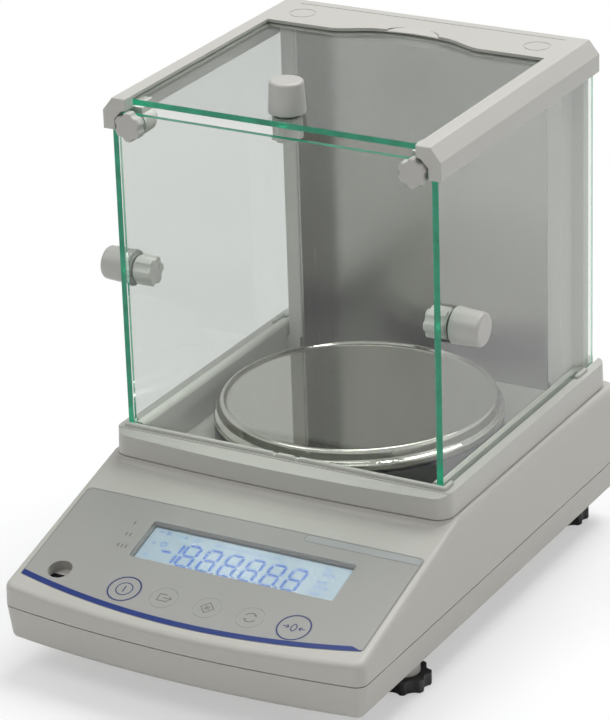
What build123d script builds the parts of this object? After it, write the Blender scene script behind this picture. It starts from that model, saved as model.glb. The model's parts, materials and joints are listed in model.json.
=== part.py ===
from build123d import *
from math import cos, radians, sin, sqrt, tan
import os

# Laboratory balance with a glass draught shield.
# Millimetres. X is the width, the front faces -Y, the table top is z = 0.
# The origin lies on the table, midway across the width and the length of the case.

# Main heights
underside_height = 17.5
seam_height = 36.0
platform_height = 77.3
shield_rise = 189.0
frame_top = platform_height + shield_rise

# Weighing pan and draught ring
pan_rim_radius = 70.0
pan_bead = 3.8
pan_rise = 15.5
pan_rim_rise = 1.45
pan_plate_thickness = 1.2
pan_skirt_flare = 3.2
pan_flare_drop = 5.8
pan_skirt_drop = 8.2
pan_skirt_thickness = 0.9
pan_collar_clearance = 0.3
pan_collar_wall = 2.0
pan_collar_length = 5.6
draught_ring_inset = 0.2
draught_ring_wall = 2.4
draught_ring_rise = 12.0
draught_ring_foot = 7.0
pan_skirt_radius = pan_rim_radius + pan_skirt_flare
pan_plate_top = platform_height + pan_rise
draught_ring_radius = pan_skirt_radius - draught_ring_inset

# Weighing chamber: the room that it leaves round the pan
pan_side_room = 7.8
pan_front_room = 0.3
pan_rear_room = 19.1
chamber_half_width = pan_skirt_radius + pan_side_room
chamber_depth = 2 * pan_skirt_radius + pan_front_room + pan_rear_room

# Windshield base: its rims round the chamber, and its steps on the case
ring_side_rim = 13.6
ring_front_rim = 15.3
ring_rear_rim = 8.7
ring_side_step = 4.9
ring_rear_step = 4.5
ring_half_width = chamber_half_width + ring_side_rim
ring_length = ring_front_rim + chamber_depth + ring_rear_rim

# Case
case_half_width = ring_half_width + ring_side_step
case_front_arc = 660.0
case_front_corner = 6.0
case_rear_corner = 8.0
case_wall = 2.5
lower_draft = 2.4
upper_draft = 1.2
case_edge_round = 3.4
underside_round = 3.5
seam_groove_height = 0.6
seam_groove_depth = 0.9

# Sloping control panel and the film on it
panel_slope = 16.2
panel_under_ring = 10.3
panel_front_margin = 6.3
panel_step_flare = 11.0
overlay_start = 31.6
overlay_side_length = 67.3
overlay_side_margin = 4.9
overlay_arc = 398.0
overlay_thickness = 0.5
overlay_recess = 0.4
overlay_corner = 2.5
slope_sin = sin(radians(panel_slope))
slope_cos = cos(radians(panel_slope))
overlay_half_width = case_half_width - overlay_side_margin
overlay_sag = overlay_arc - sqrt(overlay_arc ** 2 - overlay_half_width ** 2)
panel_length = overlay_start + overlay_side_length + overlay_sag + panel_front_margin

# Places along Y, with the case's middle at y = 0
case_length = panel_length * slope_cos - panel_under_ring + ring_length + ring_rear_step
case_front_y = -case_length / 2
case_rear_y = case_length / 2
ring_rear_y = case_rear_y - ring_rear_step
chamber_rear_y = ring_rear_y - ring_rear_rim
chamber_front_y = chamber_rear_y - chamber_depth
ring_front_y = chamber_front_y - ring_front_rim
panel_top_y = ring_front_y + panel_under_ring
pan_y = chamber_front_y + pan_front_room + pan_skirt_radius

# Display
window_center_x = 8.0
window_width = 113.0
window_from_top = 13.6
window_height = 26.6
window_corner = 1.5
lens_thickness = 1.6
lens_clearance = 0.1
lcd_margin = 3.0
lcd_thickness = 2.8
backlight_thickness = 2.4
board_thickness = 1.6
display_board_depth = 8.6
display_board_edge = 5.0
display_board_start = 3.0
display_board_end = 69.3
display_screw_x = (-58.0, 70.0)
display_screw_rows = (8.0, 50.0)

# Keys: their centres, measured down the slope from the top of the overlay
key_line = 62.3
round_key_radius = 9.0
small_key_radius = 7.0
key_places = {
    "key_power": (-38.0, round_key_radius),
    "key_print": (-15.8, small_key_radius),
    "key_set": (8.3, small_key_radius),
    "key_function": (31.8, small_key_radius),
    "key_tare": (55.5, round_key_radius),
}
key_gap = 0.1
key_travel = 0.3
key_stem_radius = 2.4
key_seat_width = 1.2
switch_size = 6.0
switch_body_height = 3.1
switch_button_height = 0.7
switch_button_radius = 1.7

# Level
level_from_side = 18.0
level_from_top = 59.1
level_window_radius = 6.2
level_cup_radius = 7.4
level_cup_height = 8.5
level_wall = 1.2
level_seat_clearance = 0.1
level_x = level_from_side - overlay_half_width

# Heights and edges of the windshield base
ring_front_arc = 1500.0
ring_corner = 9.0
ring_lean = 0.5
ring_rise = 13.5
ring_groove_height = 0.6
ring_groove_depth = 0.8
bevel_setback = 1.2
bevel_width = 6.2
bevel_start_rise = 10.7
bevel_end_rise = 13.1
lip_rise = 15.5
lip_wall = 1.8
lip_return = 10.0
chamber_floor_drop = 6.8
tray_wall = 2.5
tray_step_rise = 5.1
tray_step = 0.6
guide_rail_rise = 15.3
guide_rail_setback = 15.8
guide_rail_round = 2.4
socket_rise = 8.0
front_wall_rise = 6.2
clip_tab_length = 12.0
clip_tab_setback = 10.8
spindle_hole_radius = 16.0
notch_places = (-3.6, 8.4)
notch_width = 2.4
ring_top = platform_height + ring_rise
bevel_start_y = ring_front_y + bevel_setback
bevel_start_z = platform_height + bevel_start_rise
bevel_end_y = bevel_start_y + bevel_width
bevel_end_z = platform_height + bevel_end_rise
lip_top = platform_height + lip_rise
chamber_floor = platform_height - chamber_floor_drop
tray_step_height = platform_height + tray_step_rise
guide_rail_top = platform_height + guide_rail_rise
guide_rail_end_y = chamber_rear_y - guide_rail_setback
socket_top = platform_height + socket_rise
front_wall_top = platform_height + front_wall_rise
clip_tab_y = (chamber_rear_y - clip_tab_setback - clip_tab_length, chamber_rear_y - clip_tab_setback)

# Glass
glass_thickness = 3.0
glass_play = 0.3
door_offset = 6.3
door_front_offset = 4.5
door_rear_offset = 0.6
door_bottom_rise = 10.3
door_top_drop = 11.9
door_corner = 4.0
pane_gap = 0.5
pane_bottom_rise = 3.7
pane_top_drop = 8.8
top_glass_drop = 4.9
top_glass_overlap = 2.4
top_glass_gap = 0.6
top_glass_rear_gap = 0.3
door_mid_x = chamber_half_width + door_offset
door_front_y = chamber_front_y - door_front_offset
door_rear_y = chamber_rear_y + door_rear_offset
door_bottom = platform_height + door_bottom_rise
door_top = frame_top - door_top_drop
pane_bottom = platform_height + pane_bottom_rise
pane_top = frame_top - pane_top_drop
pane_rear_y = door_front_y + glass_thickness
top_glass_bottom = frame_top - top_glass_drop
top_glass_top = top_glass_bottom + glass_thickness
top_glass_half_width = chamber_half_width + top_glass_overlap
top_glass_front_y = pane_rear_y + top_glass_gap
top_glass_rear_y = chamber_rear_y - top_glass_rear_gap
door_outer_x = door_mid_x + glass_thickness / 2
door_inner_x = door_mid_x - glass_thickness / 2
groove_inner_x = door_inner_x - glass_play
groove_outer_x = door_outer_x + glass_play
groove_front_y = door_front_y - glass_play

# Top frame: the rails' section, and the rear crosspiece
rail_inset = 2.3
rail_top_width = 7.7
rail_width = 13.3
rail_cap_leg = 6.8
rail_leg = 7.8
rail_slope_width = 2.9
rail_shoulder_drop = 7.0
rail_depth = 16.5
rail_leg_drop = 10.8
rail_slope_drop = 6.9
rail_ledge_drop = 6.1
rail_front_reach = 3.7
rail_edge_round = 0.8
frame_rear_offset = 1.2
crosspiece_length = 35.7
crosspiece_web_length = 24.0
crosspiece_web_drop = 10.3
recess_half_width = 42.0
recess_floor_half_width = 20.0
recess_depth = 9.5
scoop_half_width = 15.0
scoop_depth = 6.5
scoop_drop = 1.2
scoop_tilt = 9.0
frame_groove_setback = 6.0
frame_groove_inset = 5.0
frame_groove_width = 0.7
frame_groove_depth = 0.5
frame_mark_inset = 14.0
frame_mark_setback = 20.0
frame_mark_radius = 7.0
rail_inner_x = chamber_half_width - rail_inset
rail_shoulder_x = rail_inner_x + rail_top_width
rail_outer_x = rail_inner_x + rail_width
rail_leg_x = rail_outer_x - rail_leg
rail_cap_leg_x = rail_outer_x - rail_cap_leg
rail_slope_x = rail_inner_x + rail_slope_width
rail_shoulder_z = frame_top - rail_shoulder_drop
rail_bottom = frame_top - rail_depth
rail_leg_top = frame_top - rail_leg_drop
rail_slope_z = frame_top - rail_slope_drop
rail_ledge_z = frame_top - rail_ledge_drop
rail_front_y = door_front_y - rail_front_reach
frame_rear_y = chamber_rear_y + frame_rear_offset
crosspiece_front_y = frame_rear_y - crosspiece_length
crosspiece_web_front_y = frame_rear_y - crosspiece_web_length
crosspiece_web_bottom = frame_top - crosspiece_web_drop

# Thumbscrews that hold the front glass
thumbscrew_inset = 3.5
thumbscrew_drop = 13.9
thumbscrew_head_radius = 7.4
thumbscrew_head_depth = 5.0
thumbscrew_gap = 0.3
thumbscrew_shank_radius = 1.9
thumbscrew_length = 16.0
boss_radius = 6.5
boss_depth = 10.0
insert_radius = 3.2
insert_wall_gap = 0.4
thumbscrew_x = chamber_half_width - thumbscrew_inset
thumbscrew_z = frame_top - thumbscrew_drop

# Door grips
grip_setback = 14.0
grip_rise = 94.3
grip_base_radius = 9.3
grip_end_radius = 8.4
grip_length = 15.3
grip_end_round = 1.6
washer_radius = 6.8
washer_thickness = 0.9
door_screw_radius = 2.0
glass_hole_radius = 2.6
nut_radius = 7.8
nut_thickness = 8.7
nut_bore_clearance = 0.08
top_grip_setback = 16.0
top_grip_length = 16.0
top_nut_radius = 7.4
grip_y = door_front_y + grip_setback
grip_height = platform_height + grip_rise
top_grip_y = door_front_y + top_grip_setback

# Posts and rear wall
post_inset = 9.5
post_width = 8.1
post_depth = 19.8
post_rear_gap = 1.5
post_flange_depth = 7.8
post_flange_lean = 2.0
post_flange_reach = 4.2
post_wall = 1.6
post_cap = 12.0
post_flange_bottom_gap = 3.5
post_flange_top_gap = 4.9
rear_wall_gap = 0.2
rear_wall_thickness = 1.0
liner_setback = 0.8
post_inner_x = chamber_half_width - post_inset
post_side_x = post_inner_x + post_width
post_flange_x = chamber_half_width + post_flange_reach
post_rear_y = chamber_rear_y - post_rear_gap
post_front_y = post_rear_y - post_depth
post_flange_y = post_rear_y - post_flange_depth
post_flange_bottom = door_bottom + post_flange_bottom_gap
post_flange_top = door_top - post_flange_top_gap

# Weighing mechanism
chassis_side_gap = 14.0
chassis_front_gap = 50.0
chassis_rear_gap = 30.0
chassis_thickness = 2.0
sensor_half_width = 17.0
sensor_front_reach = 16.5
sensor_rear_reach = 65.5
sensor_height = 26.0
sensor_flexure = 4.4
sensor_relief_radius = 3.0
bracket_length = 24.0
bracket_height = 9.0
spindle_flange_radius = 9.0
spindle_flange_thickness = 4.0
spindle_shoulder_radius = 6.0
spindle_pin_radius = 4.0
spindle_thread_radius = 2.5
hub_bottom_drop = 16.8
hub_top_drop = 3.4
hub_radius = 9.0
hub_bore_clearance = 0.05
arm_inset = 18.0
arm_width = 8.0
arm_bottom_drop = 12.8
arm_thickness = 5.0
pad_circle_inset = 23.0
pad_radius = 3.6
floor_top = underside_height + case_wall
chassis_half_width = chamber_half_width - chassis_side_gap
chassis_front_y = case_front_y + chassis_front_gap
chassis_rear_y = case_rear_y - chassis_rear_gap
sensor_front_y = pan_y - sensor_front_reach
sensor_rear_y = pan_y + sensor_rear_reach
chassis_top = floor_top + chassis_thickness
sensor_bottom = chassis_top + bracket_height
sensor_top = sensor_bottom + sensor_height
hub_bottom = pan_plate_top - hub_bottom_drop
hub_top = pan_plate_top - hub_top_drop
arm_radius = pan_rim_radius - arm_inset
arm_bottom = pan_plate_top - arm_bottom_drop
arm_top = arm_bottom + arm_thickness
pad_circle_radius = pan_rim_radius - pad_circle_inset

# Electronics
main_board_width = 60.0
main_board_side_gap = 15.5
main_board_rear_gap = 5.0
main_board_front_reach = 20.5
main_board_rise = 2.0
board_screw_inset = 5.0
board_screw_side_inset = 14.0
header_width = 22.0
header_length = 6.0
header_height = 4.0
inlet_from_side = 29.5
inlet_width = 9.2
inlet_height = 11.0
inlet_depth = 14.0
inlet_bore_radius = 2.9
inlet_pin_radius = 1.0
port_spacing = 27.0
port_flange_width = 31.0
port_height = 12.6
port_shell_width = 17.0
port_shell_height = 8.4
port_depth = 11.0
port_protrusion = 5.0
port_recess = 5.2
connector_gap = 0.25
ribbon_from_board = 24.0
ribbon_width = 18.0
ribbon_thickness = 0.8
ribbon_gap = 0.3
ribbon_start = 56.0
main_board_x = (case_half_width - main_board_side_gap - main_board_width, case_half_width - main_board_side_gap)
main_board_y = (pan_y - main_board_front_reach, case_rear_y - main_board_rear_gap)
main_board_z = seam_height + main_board_rise
inlet_x = case_half_width - inlet_from_side
port_x = inlet_x - port_spacing
ribbon_x = main_board_x[0] + ribbon_from_board

# Fasteners
case_screw_inset = 8.5
case_screw_front = 36.0
case_screw_middle = 168.0
case_screw_rear = 30.0
case_boss_radius = 4.2
screw_head_radius = 3.0
screw_head_height = 2.4
screw_seat_depth = 5.0
screw_shank_radius = 1.4
screw_thread_length = 12.0
screw_clearance = 0.1
small_head_radius = 2.6
small_head_height = 1.6
standoff_radius = 3.2
case_screw_x = case_half_width - case_screw_inset
case_screw_rows = (
    case_front_y + case_screw_front,
    case_front_y + case_screw_middle,
    case_rear_y - case_screw_rear,
)

# Feet
front_foot_inset = 16.5
front_foot_setback = 79.0
rear_foot_inset = 25.5
rear_foot_setback = 17.0
foot_radius = 13.4
foot_height = 7.2
foot_stud_radius = 3.0
foot_boss_radius = 8.0
foot_boss_gap = 0.3
foot_stud_height = 7.0
foot_nut_radius = 5.6
foot_nut_height = 5.0
front_foot_place = (case_half_width - front_foot_inset, case_front_y + front_foot_setback)
rear_foot_place = (case_half_width - rear_foot_inset, case_rear_y - rear_foot_setback)
foot_stud_top = floor_top + foot_stud_height

lift = (Align.CENTER, Align.CENTER, Align.MIN)
corner = (Align.MIN, Align.MIN, Align.MIN)


def box(x, y, z):
    """A block between the pairs of limits x, y and z."""
    low = Pos(x[0], y[0], z[0])
    return low * Box(x[1] - x[0], y[1] - y[0], z[1] - z[0], align=corner)


def rod(x, y, z, radius):
    """An upright rod at x, y between the pair of heights z."""
    return Pos(x, y, z[0]) * Cylinder(radius, z[1] - z[0], align=lift)


def rod_along_y(x, y, z, radius):
    """A rod along Y at x, z between the pair of limits y."""
    return Pos(x, y[0], z) * Rot(-90, 0, 0) * Cylinder(radius, y[1] - y[0], align=lift)


def rod_along_x(x, y, z, radius):
    """A rod along X at y, z between the pair of limits x."""
    return Pos(x[0], y, z) * Rot(0, 90, 0) * Cylinder(radius, x[1] - x[0], align=lift)


def mirrored(shape):
    """The same shape on the other side of the balance."""
    return mirror(shape, about=Plane.YZ)


def both_sides(shape):
    return shape + mirrored(shape)


def plan(half_width, front_y, rear_y, arc, front_corner, rear_corner):
    """A plan outline with straight sides, a shallow arc in front and rounded corners."""
    side_front_y = front_y + arc - sqrt(arc ** 2 - half_width ** 2)
    outline = make_face([
        Line((half_width, side_front_y), (half_width, rear_y)),
        Line((half_width, rear_y), (-half_width, rear_y)),
        Line((-half_width, rear_y), (-half_width, side_front_y)),
        ThreePointArc((-half_width, side_front_y), (0, front_y), (half_width, side_front_y)),
    ])
    outline = fillet(outline.vertices().sort_by(Axis.Y)[:2], front_corner)
    return fillet(outline.vertices().sort_by(Axis.Y)[-2:], rear_corner)


def case_plan(inset):
    """The case's outline, pulled in all round by the inset."""
    return plan(
        case_half_width - inset,
        case_front_y + inset,
        case_rear_y - inset,
        case_front_arc,
        case_front_corner - inset,
        case_rear_corner - inset,
    )


def ring_plan(grow):
    """The windshield base's outline, grown all round."""
    return plan(
        ring_half_width + grow,
        ring_front_y - grow,
        ring_rear_y + grow,
        ring_front_arc,
        ring_corner + grow,
        ring_corner + grow,
    )


def between(low_face, low_z, high_face, high_z):
    """A straight-sided body between two outlines at two heights."""
    return loft([Pos(0, 0, low_z) * low_face, Pos(0, 0, high_z) * high_face], ruled=True)


panel = Plane(
    origin=(0, panel_top_y, platform_height),
    x_dir=(1, 0, 0),
    z_dir=(0, -slope_sin, slope_cos),
)


def panel_place(x, from_top, depth=0.0):
    """A place on the panel: x, the way down from the overlay's top edge, and the depth."""
    return panel * Pos(x, -(overlay_start + from_top), -depth)


def panel_y(from_top, depth=0.0):
    return panel_top_y - (overlay_start + from_top) * slope_cos + depth * slope_sin


def panel_z(from_top, depth=0.0):
    return platform_height - (overlay_start + from_top) * slope_sin - depth * slope_cos


def upper_block(inset):
    """The upper case as a full body, with every face pulled in by the inset."""
    draft = inset + upper_draft
    body = between(case_plan(inset), seam_height, case_plan(draft), platform_height - inset)
    above = panel * Pos(0, 0, case_length / 2 - inset) * Box(3 * case_half_width, 3 * case_length, case_length)
    side = case_half_width + 1
    ahead = box((-side, side), (case_front_y - 1, panel_top_y), (seam_height, platform_height + 1))
    lowered = above & ahead
    step = [
        Pos(0, 0, platform_height + 1 - inset) * ring_plan(0.5 - inset),
        Pos(0, 0, platform_height - 1.7 - inset) * ring_plan(0.9 - inset),
        Pos(0, 0, platform_height - 3.6 - inset) * ring_plan(0.3 * panel_step_flare - inset),
        Pos(0, 0, platform_height - 6.3 - inset) * ring_plan(panel_step_flare - inset),
    ]
    return body - (lowered - loft(step))


def case_boss_places():
    return [(side * case_screw_x, y) for side in (-1, 1) for y in case_screw_rows]


def foot_places():
    front_x, front_y = front_foot_place
    rear_x, rear_y = rear_foot_place
    return {
        "front_left_foot": (-front_x, front_y),
        "front_right_foot": (front_x, front_y),
        "rear_left_foot": (-rear_x, rear_y),
        "rear_right_foot": (rear_x, rear_y),
    }


def lower_case():
    """A tub with foot bosses below and screw bosses inside."""
    outer = between(case_plan(lower_draft), underside_height, case_plan(0), seam_height)
    low_edges = outer.edges().filter_by_position(Axis.Z, underside_height - 0.01, underside_height + 0.01)
    outer = fillet(low_edges, underside_round)
    inner = between(case_plan(lower_draft + case_wall), floor_top, case_plan(case_wall), seam_height + 1)
    shell = outer - inner
    for x, y in case_boss_places():
        shell += rod(x, y, (floor_top - 1, seam_height), case_boss_radius) & outer
    for x, y in foot_places().values():
        shell += rod(x, y, (foot_height + foot_boss_gap, floor_top), foot_boss_radius)
    for x, y in case_boss_places():
        shell -= rod(x, y, (0, seam_height + 1), screw_shank_radius + screw_clearance)
        shell -= rod(x, y, (0, underside_height + screw_seat_depth), screw_head_radius + screw_clearance)
    for x, y in foot_places().values():
        shell -= rod(x, y, (0, floor_top + 1), foot_stud_radius + screw_clearance)
    groove_low = seam_height - seam_groove_height
    around = between(case_plan(-1), groove_low, case_plan(-1), seam_height)
    kept = case_plan(seam_groove_depth)
    return shell - (around - between(kept, groove_low, kept, seam_height))


def overlay_outline(grow=0.0):
    """The overlay's outline: straight sides and an arc along the lower edge."""
    half = overlay_half_width + grow
    top = -overlay_start + grow
    side_end = -overlay_start - overlay_side_length - grow
    sag = overlay_arc - sqrt(overlay_arc ** 2 - half ** 2)
    outline = make_face([
        Line((-half, side_end), (-half, top)),
        Line((-half, top), (half, top)),
        Line((half, top), (half, side_end)),
        ThreePointArc((half, side_end), (0, side_end - sag), (-half, side_end)),
    ])
    return fillet(outline.vertices(), overlay_corner + grow)


def window_outline(grow=0.0):
    width = window_width + 2 * grow
    height = window_height + 2 * grow
    middle = -(overlay_start + window_from_top + window_height / 2)
    return Pos(window_center_x, middle) * RectangleRounded(width, height, window_corner + grow)


def display_screw_places():
    """Where the display board is screwed on: x and the way down from the overlay's top."""
    return [(x, from_top) for x in display_screw_x for from_top in display_screw_rows]


def upper_rim(outer):
    """The cover's outer edges: along both sides, the rear and the front."""
    front_rise = platform_height - panel_length * slope_sin
    return [
        edge for edge in outer.edges()
        if (abs(edge.center().X) > case_half_width - upper_draft - 1.5 and edge.length > 40
            and edge.center().Z > seam_height + 8)
        or (edge.center().Y > case_rear_y - upper_draft - 0.2 and edge.center().Z > platform_height - 0.1)
        or (edge.center().Y < case_front_y + case_front_corner + 4
            and abs(edge.center().Z - front_rise) < 3 and edge.length > 5 and abs(edge.tangent_at(0.5).Z) < 0.4)
    ]


def upper_case():
    """The cover with the sloping panel, the platform and the opening for the windshield base."""
    outer = upper_block(0)
    outer = fillet(ShapeList(upper_rim(outer)), case_edge_round)
    shell = outer - upper_block(case_wall)
    inside = upper_block(case_wall)
    for x, y in case_boss_places():
        shell += rod(x, y, (seam_height, platform_height), case_boss_radius) & inside
    for x, from_top in display_screw_places():
        post = panel_place(x, from_top, display_board_depth) * Cylinder(
            standoff_radius, display_board_depth - case_wall / 2, align=lift)
        shell += post
    collar_low = panel_z(level_from_top) - level_cup_height - case_wall - 4
    collar = rod(level_x, panel_y(level_from_top), (collar_low, platform_height),
                 level_cup_radius + level_wall + 0.8) & inside
    shell += collar
    shell -= panel * Pos(0, 0, -overlay_recess) * extrude(overlay_outline(0.15), 5)
    shell -= panel * Pos(0, 0, -case_wall - 1) * extrude(window_outline(-0.6), case_wall + 2)
    shell -= panel * Pos(0, 0, -lens_thickness - overlay_recess) * extrude(window_outline(), 5)
    for x, radius in key_places.values():
        through = Cylinder(radius - key_seat_width, case_wall + 2, align=lift)
        shell -= panel_place(x, key_line, case_wall + 1) * through
        pocket = Cylinder(radius + key_gap, 5, align=lift)
        shell -= panel_place(x, key_line, 3 * key_travel + overlay_thickness) * pocket
    window = Cylinder(level_window_radius, case_wall + 8, align=lift)
    shell -= panel_place(level_x, level_from_top, case_wall + 3) * window
    shell -= rod(level_x, panel_y(level_from_top), (collar_low - 1, level_top() + 0.2),
                 level_cup_radius + level_seat_clearance)
    for x, from_top in display_screw_places():
        shell -= panel_place(x, from_top, display_board_depth + 0.5) * Cylinder(
            screw_shank_radius, display_board_depth - case_wall, align=lift)
    for x, y in case_boss_places():
        thread = (seam_height - 1, seam_height + screw_thread_length + 2)
        shell -= rod(x, y, thread, screw_shank_radius + screw_clearance / 2)
    tray = tray_limits(glass_play)
    shell -= box(tray[0], tray[1], (chamber_floor - tray_wall - 5, platform_height + 5))
    shell -= inlet_body(connector_gap)
    shell -= port_body(connector_gap)
    shell -= Pos(0, port_recess, 0) * port_body(connector_gap)
    return shell


def level_top():
    """The height of the level's cup, which stands upright under the sloping panel."""
    low_edge = (level_cup_radius + level_seat_clearance) * tan(radians(panel_slope))
    return panel_z(level_from_top) - case_wall / slope_cos - low_edge - 0.2


def tray_limits(grow=0.0):
    """The outside of the tray that hangs through the platform: pairs of x and y limits."""
    half = chamber_half_width + tray_wall + grow
    return (-half, half), (chamber_front_y - tray_wall - grow, chamber_rear_y + tray_wall + grow)


def ring_body():
    """The frame's outer form, with the long bevel along its front."""
    ring = between(ring_plan(0), platform_height, ring_plan(-ring_lean), ring_top)
    groove_top = platform_height + ring_groove_height
    around = between(ring_plan(1), platform_height, ring_plan(1), groove_top)
    kept = ring_plan(-ring_groove_depth)
    ring -= around - between(kept, platform_height, kept, groove_top)
    rise = (bevel_end_z - bevel_start_z) / (bevel_end_y - bevel_start_y)
    reach = 30.0
    bevel = make_face(Polyline([
        (bevel_end_y, bevel_end_z),
        (bevel_end_y - reach, bevel_end_z - reach * rise),
        (bevel_end_y - reach, bevel_end_z + reach),
        (bevel_end_y, bevel_end_z + reach),
    ], close=True))
    return ring - extrude(Plane.YZ * bevel, case_half_width, both=True)


def corner_lip():
    """The raised lip before the front glass, which turns round both front corners."""
    outer_x = groove_outer_x + lip_wall
    front_y = groove_front_y - lip_wall
    outline = Pos(0, front_y + lip_return / 2) * RectangleRounded(2 * outer_x, lip_return, 1.7)
    low = bevel_start_z - 3
    lip = Pos(0, 0, low) * extrude(outline, lip_top - low)
    lip = fillet(lip.faces().sort_by(Axis.Z)[-1].edges(), 0.8)
    for x in notch_places:
        lip -= Pos(x, front_y, lip_top) * Rot(0, 45, 0) * Box(notch_width, 2 * lip_wall, notch_width)
    inside_y = (groove_front_y, front_y + lip_return + 1)
    return lip - box((-groove_outer_x, groove_outer_x), inside_y, (low - 1, lip_top + 1))


def clip_tab():
    """The small raised tab beside the right door's groove."""
    tab = box((groove_outer_x, groove_outer_x + lip_wall + 0.6), clip_tab_y, (ring_top - 2, guide_rail_top))
    tab = fillet(tab.edges().filter_by(Axis.Z), 0.9)
    return fillet(tab.faces().sort_by(Axis.Z)[-1].edges(), 0.7)


def guide_rail():
    """The right door's inner rail, rounded towards the chamber."""
    rail = box((chamber_half_width, groove_inner_x), (pane_rear_y + glass_play, guide_rail_end_y),
               (ring_top - 3, guide_rail_top))
    tops = rail.faces().sort_by(Axis.Z)[-1].edges()
    rail = fillet(tops.sort_by(Axis.X)[:1], guide_rail_round)
    return fillet(rail.faces().sort_by(Axis.Y)[-1].edges().sort_by(Axis.Z)[-1:], 1.2)


def windshield_base():
    """The frame on the platform, with its grooves for the glass, and the chamber's tray."""
    base = ring_body() + corner_lip() + both_sides(clip_tab())
    tray = tray_limits()
    base += box(tray[0], tray[1], (chamber_floor - tray_wall, platform_height + 1))
    base -= box((-chamber_half_width, chamber_half_width), (chamber_front_y, chamber_rear_y),
                (chamber_floor, lip_top + 5))
    base -= box((-chamber_half_width - tray_step, chamber_half_width + tray_step),
                (chamber_front_y, chamber_rear_y), (chamber_floor, tray_step_height))
    base -= box((-chamber_half_width, chamber_half_width), (pane_rear_y, chamber_front_y + 1),
                (front_wall_top, lip_top + 5))
    base += both_sides(guide_rail())
    base -= box((-groove_inner_x, groove_inner_x), (groove_front_y, pane_rear_y + glass_play),
                (pane_bottom - glass_play, frame_top))
    side_groove = box((groove_inner_x, groove_outer_x), (groove_front_y, ring_rear_y + 5),
                      (door_bottom - glass_play, frame_top))
    base -= both_sides(side_groove)
    socket = box((post_inner_x + 1.5, chamber_half_width + tray_step), (post_front_y, post_rear_y),
                 (chamber_floor, socket_top))
    base += both_sides(socket)
    collar = rod(0, pan_y, (chamber_floor - 1, chamber_floor + 3), spindle_hole_radius + 2.5)
    base += collar
    base -= rod(0, pan_y, (0, chamber_floor + 5), spindle_hole_radius)
    for x, y in post_screw_places():
        base -= rod(x, y, (0, socket_top + 1), screw_shank_radius + screw_clearance)
        base -= rod(x, y, (0, chamber_floor + 1), small_head_radius + screw_clearance)
    return base


def post_screw_places():
    x = (post_inner_x + post_side_x) / 2
    return [(side * x, (post_front_y + post_rear_y) / 2) for side in (-1, 1)]


def post():
    """The right post: a hollow section with a flange towards the door."""
    section = make_face(Polyline([
        (post_inner_x, post_front_y),
        (post_side_x, post_front_y),
        (post_side_x, post_flange_y),
        (post_flange_x, post_flange_y + post_flange_lean),
        (post_flange_x, post_rear_y),
        (post_inner_x, post_rear_y),
    ], close=True))
    section = fillet(section.vertices().group_by(Axis.Y)[0], 0.8)
    body = Pos(0, 0, socket_top) * extrude(section, crosspiece_web_bottom - socket_top)
    flange_x = (post_side_x, post_flange_x + 1)
    flange_y = (post_front_y, post_rear_y + 1)
    body -= box(flange_x, flange_y, (socket_top - 1, post_flange_bottom))
    body -= box(flange_x, flange_y, (post_flange_top, frame_top))
    hollow = box(
        (post_inner_x + post_wall, post_side_x - post_wall),
        (post_front_y + post_wall, post_rear_y - post_wall),
        (socket_top + post_cap, crosspiece_web_bottom - post_cap),
    )
    body -= hollow
    x, y = post_screw_places()[1]
    return body - rod(x, y, (socket_top - 1, socket_top + post_cap + 0.5), screw_shank_radius)


def rear_wall():
    """The steel liner: a sheet behind the posts, bent forward along their inner faces."""
    y = post_rear_y + rear_wall_gap
    half = chamber_half_width - rear_wall_gap
    height = (chamber_floor, crosspiece_web_bottom)
    sheet = box((-half, half), (y, y + rear_wall_thickness), height)
    inner_x = post_inner_x - rear_wall_gap
    side = box((inner_x - rear_wall_thickness, inner_x),
               (post_front_y + liner_setback, y + rear_wall_thickness), height)
    return sheet + both_sides(side)


def rail_profile(leg_x):
    """The right rail's section, looking along it, without its slot and groove."""
    return make_face(Polyline([
        (rail_inner_x, frame_top),
        (rail_shoulder_x, frame_top),
        (rail_outer_x, rail_shoulder_z),
        (rail_outer_x, rail_bottom),
        (leg_x, rail_bottom),
        (leg_x, rail_leg_top),
        (rail_slope_x, rail_slope_z),
        (rail_inner_x, rail_ledge_z),
    ], close=True))


def rail():
    """The right rail of the top frame."""
    cap_end = groove_front_y
    cap = Plane.XZ.offset(-cap_end) * rail_profile(rail_cap_leg_x)
    cap = extrude(cap, cap_end - rail_front_y)
    outer_edges = [
        edge for edge in cap.edges()
        if abs(edge.center().Y - rail_front_y) < 0.01 or abs(edge.center().X - rail_shoulder_x) < 0.01
    ]
    cap = fillet(ShapeList(outer_edges), rail_edge_round)
    main = Plane.XZ.offset(-frame_rear_y) * rail_profile(rail_leg_x)
    main = extrude(main, frame_rear_y - cap_end)
    shoulder = [
        edge for edge in main.edges().filter_by(Axis.Y)
        if abs(edge.center().X - rail_shoulder_x) < 0.01 or abs(edge.center().X - rail_outer_x) < 0.01
    ]
    main = fillet(ShapeList(shoulder), rail_edge_round)
    return cap + main


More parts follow.
